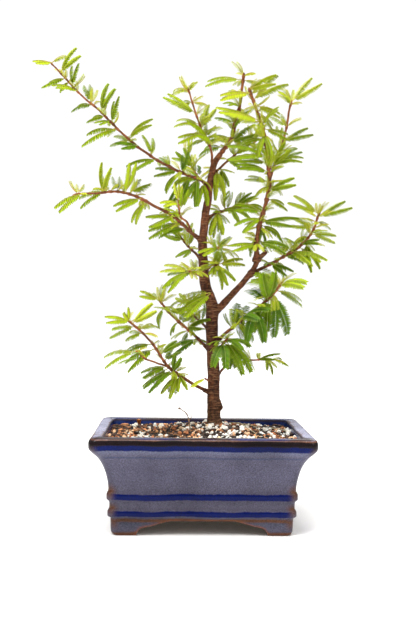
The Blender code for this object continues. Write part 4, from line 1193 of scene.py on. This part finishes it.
leaf_green = leaf_finish()
leaflet_shape, leaflet_under = model_leaflet()
leaflet_marks = {
    "tip": [x ** 3 for x in leaflet_shape[0][:, 0]],
    "shade": [0.5 - y for y in leaflet_shape[0][:, 1]],
    "rib": np.zeros(len(leaflet_shape[0]))}
rib_girth = [0.3 - 0.18 * i / RIB_STEPS for i in range(RIB_STEPS + 1)]
trunk_girths = [(p, trunk_radius(p.z)) for p in smooth_route(TRUNK, 4)]
grown = grow_leaves()
late = late_leaves(grown, random.Random(LATE_SEED))
young = young_leaves(grown + late, random.Random(YOUNG_SEED))
kinds = {"grown": grown, "late": late, "young": young}
crown = [(leaf, kind) for kind, leaves in kinds.items() for leaf in leaves]
for index, name in enumerate(SHOOTS):
    rng = random.Random(BLADE_SEED + index)
    places, ages, stems, stem_ages = [], [], [], []
    for leaf, kind in crown:
        if leaf.shoot != name:
            continue
        half_grown = kind == "young"
        age = LEAF_AGE[name] + 0.14 - 0.34 * max(0.0, leaf.share - 0.55) / 0.45 + rng.uniform(-0.22, 0.22)
        age = max(0.02, min(1.0, age - ((0.15 if leaf.length < 15 else 0) + PALER[kind])))
        fold = math.radians(rng.uniform(*(OPEN if name in OPEN_LEAVES else FOLDED)))
        least, growth = OPEN_HALF_WIDTH if name in OPEN_LEAVES and not half_grown else FOLDED_HALF_WIDTH
        for rib in leaf.ribs:
            found = leaflet_places(leaf, rib, least + growth * leaf.length, fold, half_grown, rng)
            places += found
            ages += [clamp(age + rng.uniform(-0.07, 0.07)) for _ in found]
            stems.append((rib, rib_girth))
            stem_ages += [(p, age) for p in rib]
        foot, fork = leaf.foot, leaf.ribs[0][0]
        bow = foot.lerp(fork, 0.5) + 0.03 * leaf.length * leaf.axes[2]
        stems.append(([foot, foot.lerp(bow, 0.35), bow, fork], [0.55, 0.46, 0.36, 0.36]))
        stem_ages.append((bow, age))
    blades = copies("leaves", [leaflet_shape], places, [0] * len(places), {"age": ages})
    set_attribute(blades.data, "underside", np.tile(leaflet_under, len(places)), "FACE")
    stalks = tubes("stalks", stems, 4)
    mark_by_nearest(stalks.data, "age", stem_ages)
    set_attribute(stalks.data, "underside", np.zeros(len(stalks.data.polygons)), "FACE")
    for mark, values in leaflet_marks.items():
        set_attribute(blades.data, mark, np.tile(values, len(places)))
        on_stalks = 1.0 if mark == "rib" else 0.0
        set_attribute(stalks.data, mark, np.full(len(stalks.data.vertices), on_stalks))
    for piece in (blades, stalks):
        piece.data.materials.append(leaf_green)
    foliage = join("leaves_" + name, [blades, stalks])
    bpy.ops.object.shade_smooth_by_angle(angle=math.radians(60))
    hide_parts(name)
    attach(foliage, "root")


# Dead twig. A thin grey-brown twig without leaves that stands in the mix in front of the trunk, with a
# withered bud at its bent tip.

DRY_TWIG = [(-9, -12, 58), (-9, -12, 72), (-10, -12, 78), (-12, -12, 83), (-16, -12, 86)]
DRY_TWIG_SEED = 9
DRY_JOINTS = (0.42, 0.66, 0.82)


def dry_finish(name, dark, light):
    made, tree, shader, space = new_material(name)
    tone = ramp(tree, grain(tree, space, 320, 4), [(0.35, dark), (0.7, light)])
    tree.links.new(tone, shader.inputs["Base Color"])
    shader.inputs["Roughness"].default_value = 0.8
    relief(tree, shader, grain(tree, space, 1500, 3), 0.4, 0.2 * MM)
    return made


points = smooth_route(DRY_TWIG)
stem, girth = twig_stem(points, (0.72, 0.45), DRY_JOINTS, random.Random(DRY_TWIG_SEED))
# A short side twig forks from the middle joint.
fork = points[round(DRY_JOINTS[1] * (len(points) - 1))]
side_twig = smooth_route([fork, fork + Vector((1.6, -0.6, 1.8)), fork + Vector((2.2, -1.0, 4.2))])
tip = points[-1]
bud = [tip, tip + Vector((-0.7, 0, 0.4)), tip + Vector((-1.5, 0, 0.7)), tip + Vector((-2.1, 0, 0.8))]
routes = [(stem, girth), (side_twig, taper(side_twig, (0.4, 0.2))), (bud, (0.4, 0.85, 0.8, 0.3))]
dead_twig = tubes("dead_twig", routes, TWIG_SIDES)
dead_twig.data.materials.append(dry_finish("dead_wood", (98, 74, 58), (166, 136, 108)))
pick(dead_twig)
bpy.ops.object.shade_smooth()
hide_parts("dry_twig")
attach(dead_twig, "root")


# Litter. Pale dead roots and bits of straw that lie on the grit, and a dry leaf that has curled up
# against the back wall.

# Each kind as its routes seen from above, its radii at foot and tip, and its dark and light tone.
LITTER = {
    "dead_roots": (
        [[(21, 34), (25, 26), (31, 14), (34, -4), (39, -20), (37, -36)],
         [(24, 22), (33, 20), (41, 8), (44, -6)], [(52, 22), (56, 12), (63, 8), (66, -4)]],
        (0.45, 0.2), (150, 132, 98), (214, 202, 168)),
    "straw": (
        [[(-34, -27), (-29, -31), (-22, -36)], [(-21, -20), (-16, -30), (-8, -43)],
         [(-52, 6), (-46, -1), (-43, -9)], [(-36, -40), (-28, -42), (-21, -39)]],
        (0.5, 0.3), (112, 70, 40), (190, 138, 86))}
LITTER_LIFT = 1.7
DRY_LEAF_FOOT = (-49, 44)
DRY_LEAF_LENGTH = 10
DRY_LEAF_THICKNESS = 0.3


def lying(route):
    """The route as points on top of the grit, highest off the mix in the middle."""
    found = []
    for i, (x, y) in enumerate(route):
        lift = LITTER_LIFT * (0.6 + 0.8 * math.sin(math.pi * i / (len(route) - 1)))
        found.append((x, y, soil_height(x, y) / MM + lift))
    return smooth_route(found)


for name, (routes, girth, dark, light) in LITTER.items():
    lines = [lying(route) for route in routes]
    litter = tubes(name, [(line, taper(line, girth)) for line in lines], 6)
    litter.data.materials.append(dry_finish(name, dark, light))
    pick(litter)
    bpy.ops.object.shade_smooth()
    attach(litter, "root")
start()
bpy.ops.mesh.primitive_grid_add(x_subdivisions=10, y_subdivisions=4, size=1)
dry_leaf = bpy.context.object
dry_leaf.name = "dry_leaf"
foot = Vector((*DRY_LEAF_FOOT, soil_height(*DRY_LEAF_FOOT) / MM + 0.12))
for vert in dry_leaf.data.vertices:
    t, across = vert.co.x + 0.5, 2 * vert.co.y
    half = 0.18 * math.sin(math.pi * min(1, 0.08 + 0.92 * t)) ** 0.8
    curl = 1.9 * t
    out = -0.3 * math.sin(curl) - 0.18 * across * across
    rise = 0.62 * t + 0.2 * math.sin(2 * curl)
    vert.co = (foot + DRY_LEAF_LENGTH * Vector((half * across, out, rise))) * MM
apply_modifier(dry_leaf, "SOLIDIFY", thickness=DRY_LEAF_THICKNESS * MM, offset=0)
apply_modifier(dry_leaf, "SUBSURF", levels=1, render_levels=1)
dry_leaf.data.materials.append(dry_finish("dry_leaf", (150, 78, 34), (224, 146, 72)))
pick(dry_leaf)
bpy.ops.object.shade_smooth()
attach(dry_leaf, "root")


# Floor, light and camera. A pale floor under even studio light: soft lamps on the left, on the right and
# behind, and a broad light from above. The camera stands a little left, level with the trunk's middle.

start()
bpy.ops.mesh.primitive_plane_add(size=6)
floor = bpy.context.object
floor.name = "floor"
made, tree, shader, space = new_material("floor")
tone = ramp(tree, grain(tree, space, 4, 2), [(0.3, (246, 245, 243)), (0.7, (250, 249, 248))])
tree.links.new(tone, shader.inputs["Base Color"])
shader.inputs["Roughness"].default_value = 0.7
shader.inputs["Specular IOR Level"].default_value = 0.2
shader.inputs["Emission Color"].default_value = colour(255, 238, 216)
seen = tree.nodes.new("ShaderNodeLightPath").outputs["Is Camera Ray"]
tree.links.new(math_node(tree, "MULTIPLY", seen, 0.03), shader.inputs["Emission Strength"])
floor.data.materials.append(made)

world = bpy.data.worlds.new("studio")
bpy.context.scene.world = world
world.use_nodes = True
tree = world.node_tree
background = tree.nodes["Background"]
background.inputs["Color"].default_value = (1, 1, 1, 1)
seen = tree.nodes.new("ShaderNodeLightPath").outputs["Is Camera Ray"]
sky = tree.nodes.new("ShaderNodeTexCoord").outputs["Generated"]
light = ramp(tree, height_in(tree, sky), [(0.0, 0.3), (1.0, 0.8)])
strength = add(tree, "Mix", {"Factor": seen, "A": light, "B": 1.05})
tree.links.new(strength, background.inputs["Strength"])


def soft_light(name, place_at, aim, size, power):
    start()
    bpy.ops.object.light_add(type="AREA", location=place_at)
    lamp = bpy.context.object
    lamp.name = name
    lamp.data.shape = "SQUARE"
    lamp.data.size = size
    lamp.data.energy = power
    lamp.rotation_euler = (Vector(aim) - Vector(place_at)).to_track_quat("-Z", "Y").to_euler()


soft_light("key", (-0.6, -0.7, 1.2), (0, 0, 0.16), 0.5, 11)
soft_light("fill", (1.0, -0.9, 1.0), (0, 0, 0.16), 0.9, 6)
soft_light("back", (0.3, 1.2, 1.0), (0, 0, 0.2), 1.0, 9)

# One broad light from nearly straight above keeps the floor as pale as the wall behind, out to the horizon.
start()
bpy.ops.object.light_add(type="SUN", rotation=(math.radians(12), math.radians(-8), 0))
overhead = bpy.context.object
overhead.name = "overhead"
overhead.data.energy = 2.5
overhead.data.angle = math.radians(34)

CAMERA_PLACE = (-20.6, -677.5, 164.9)
CAMERA_TURN = (-2.05, -0.57, 0.75)
CAMERA_LENS = 51.81
yaw, pitch, roll = (math.radians(angle) for angle in CAMERA_TURN)
right = Vector((math.cos(yaw), math.sin(yaw), 0))
ahead = Vector((-math.sin(yaw) * math.cos(pitch), math.cos(yaw) * math.cos(pitch), math.sin(pitch)))
above = right.cross(ahead)
rolled_right = math.cos(roll) * right + math.sin(roll) * above
rolled_above = math.cos(roll) * above - math.sin(roll) * right
start()
bpy.ops.object.camera_add()
camera = bpy.context.object
camera.data.lens = CAMERA_LENS
camera.data.sensor_width = 36
camera.data.sensor_fit = "AUTO"
camera.data.clip_start = 0.01
camera.data.clip_end = 20
turned = Matrix((rolled_right, rolled_above, -ahead)).transposed().to_4x4()
camera.matrix_world = Matrix.Translation(Vector(CAMERA_PLACE) * MM) @ turned
bpy.context.scene.camera = camera
bpy.context.scene.view_settings.view_transform = "Standard"
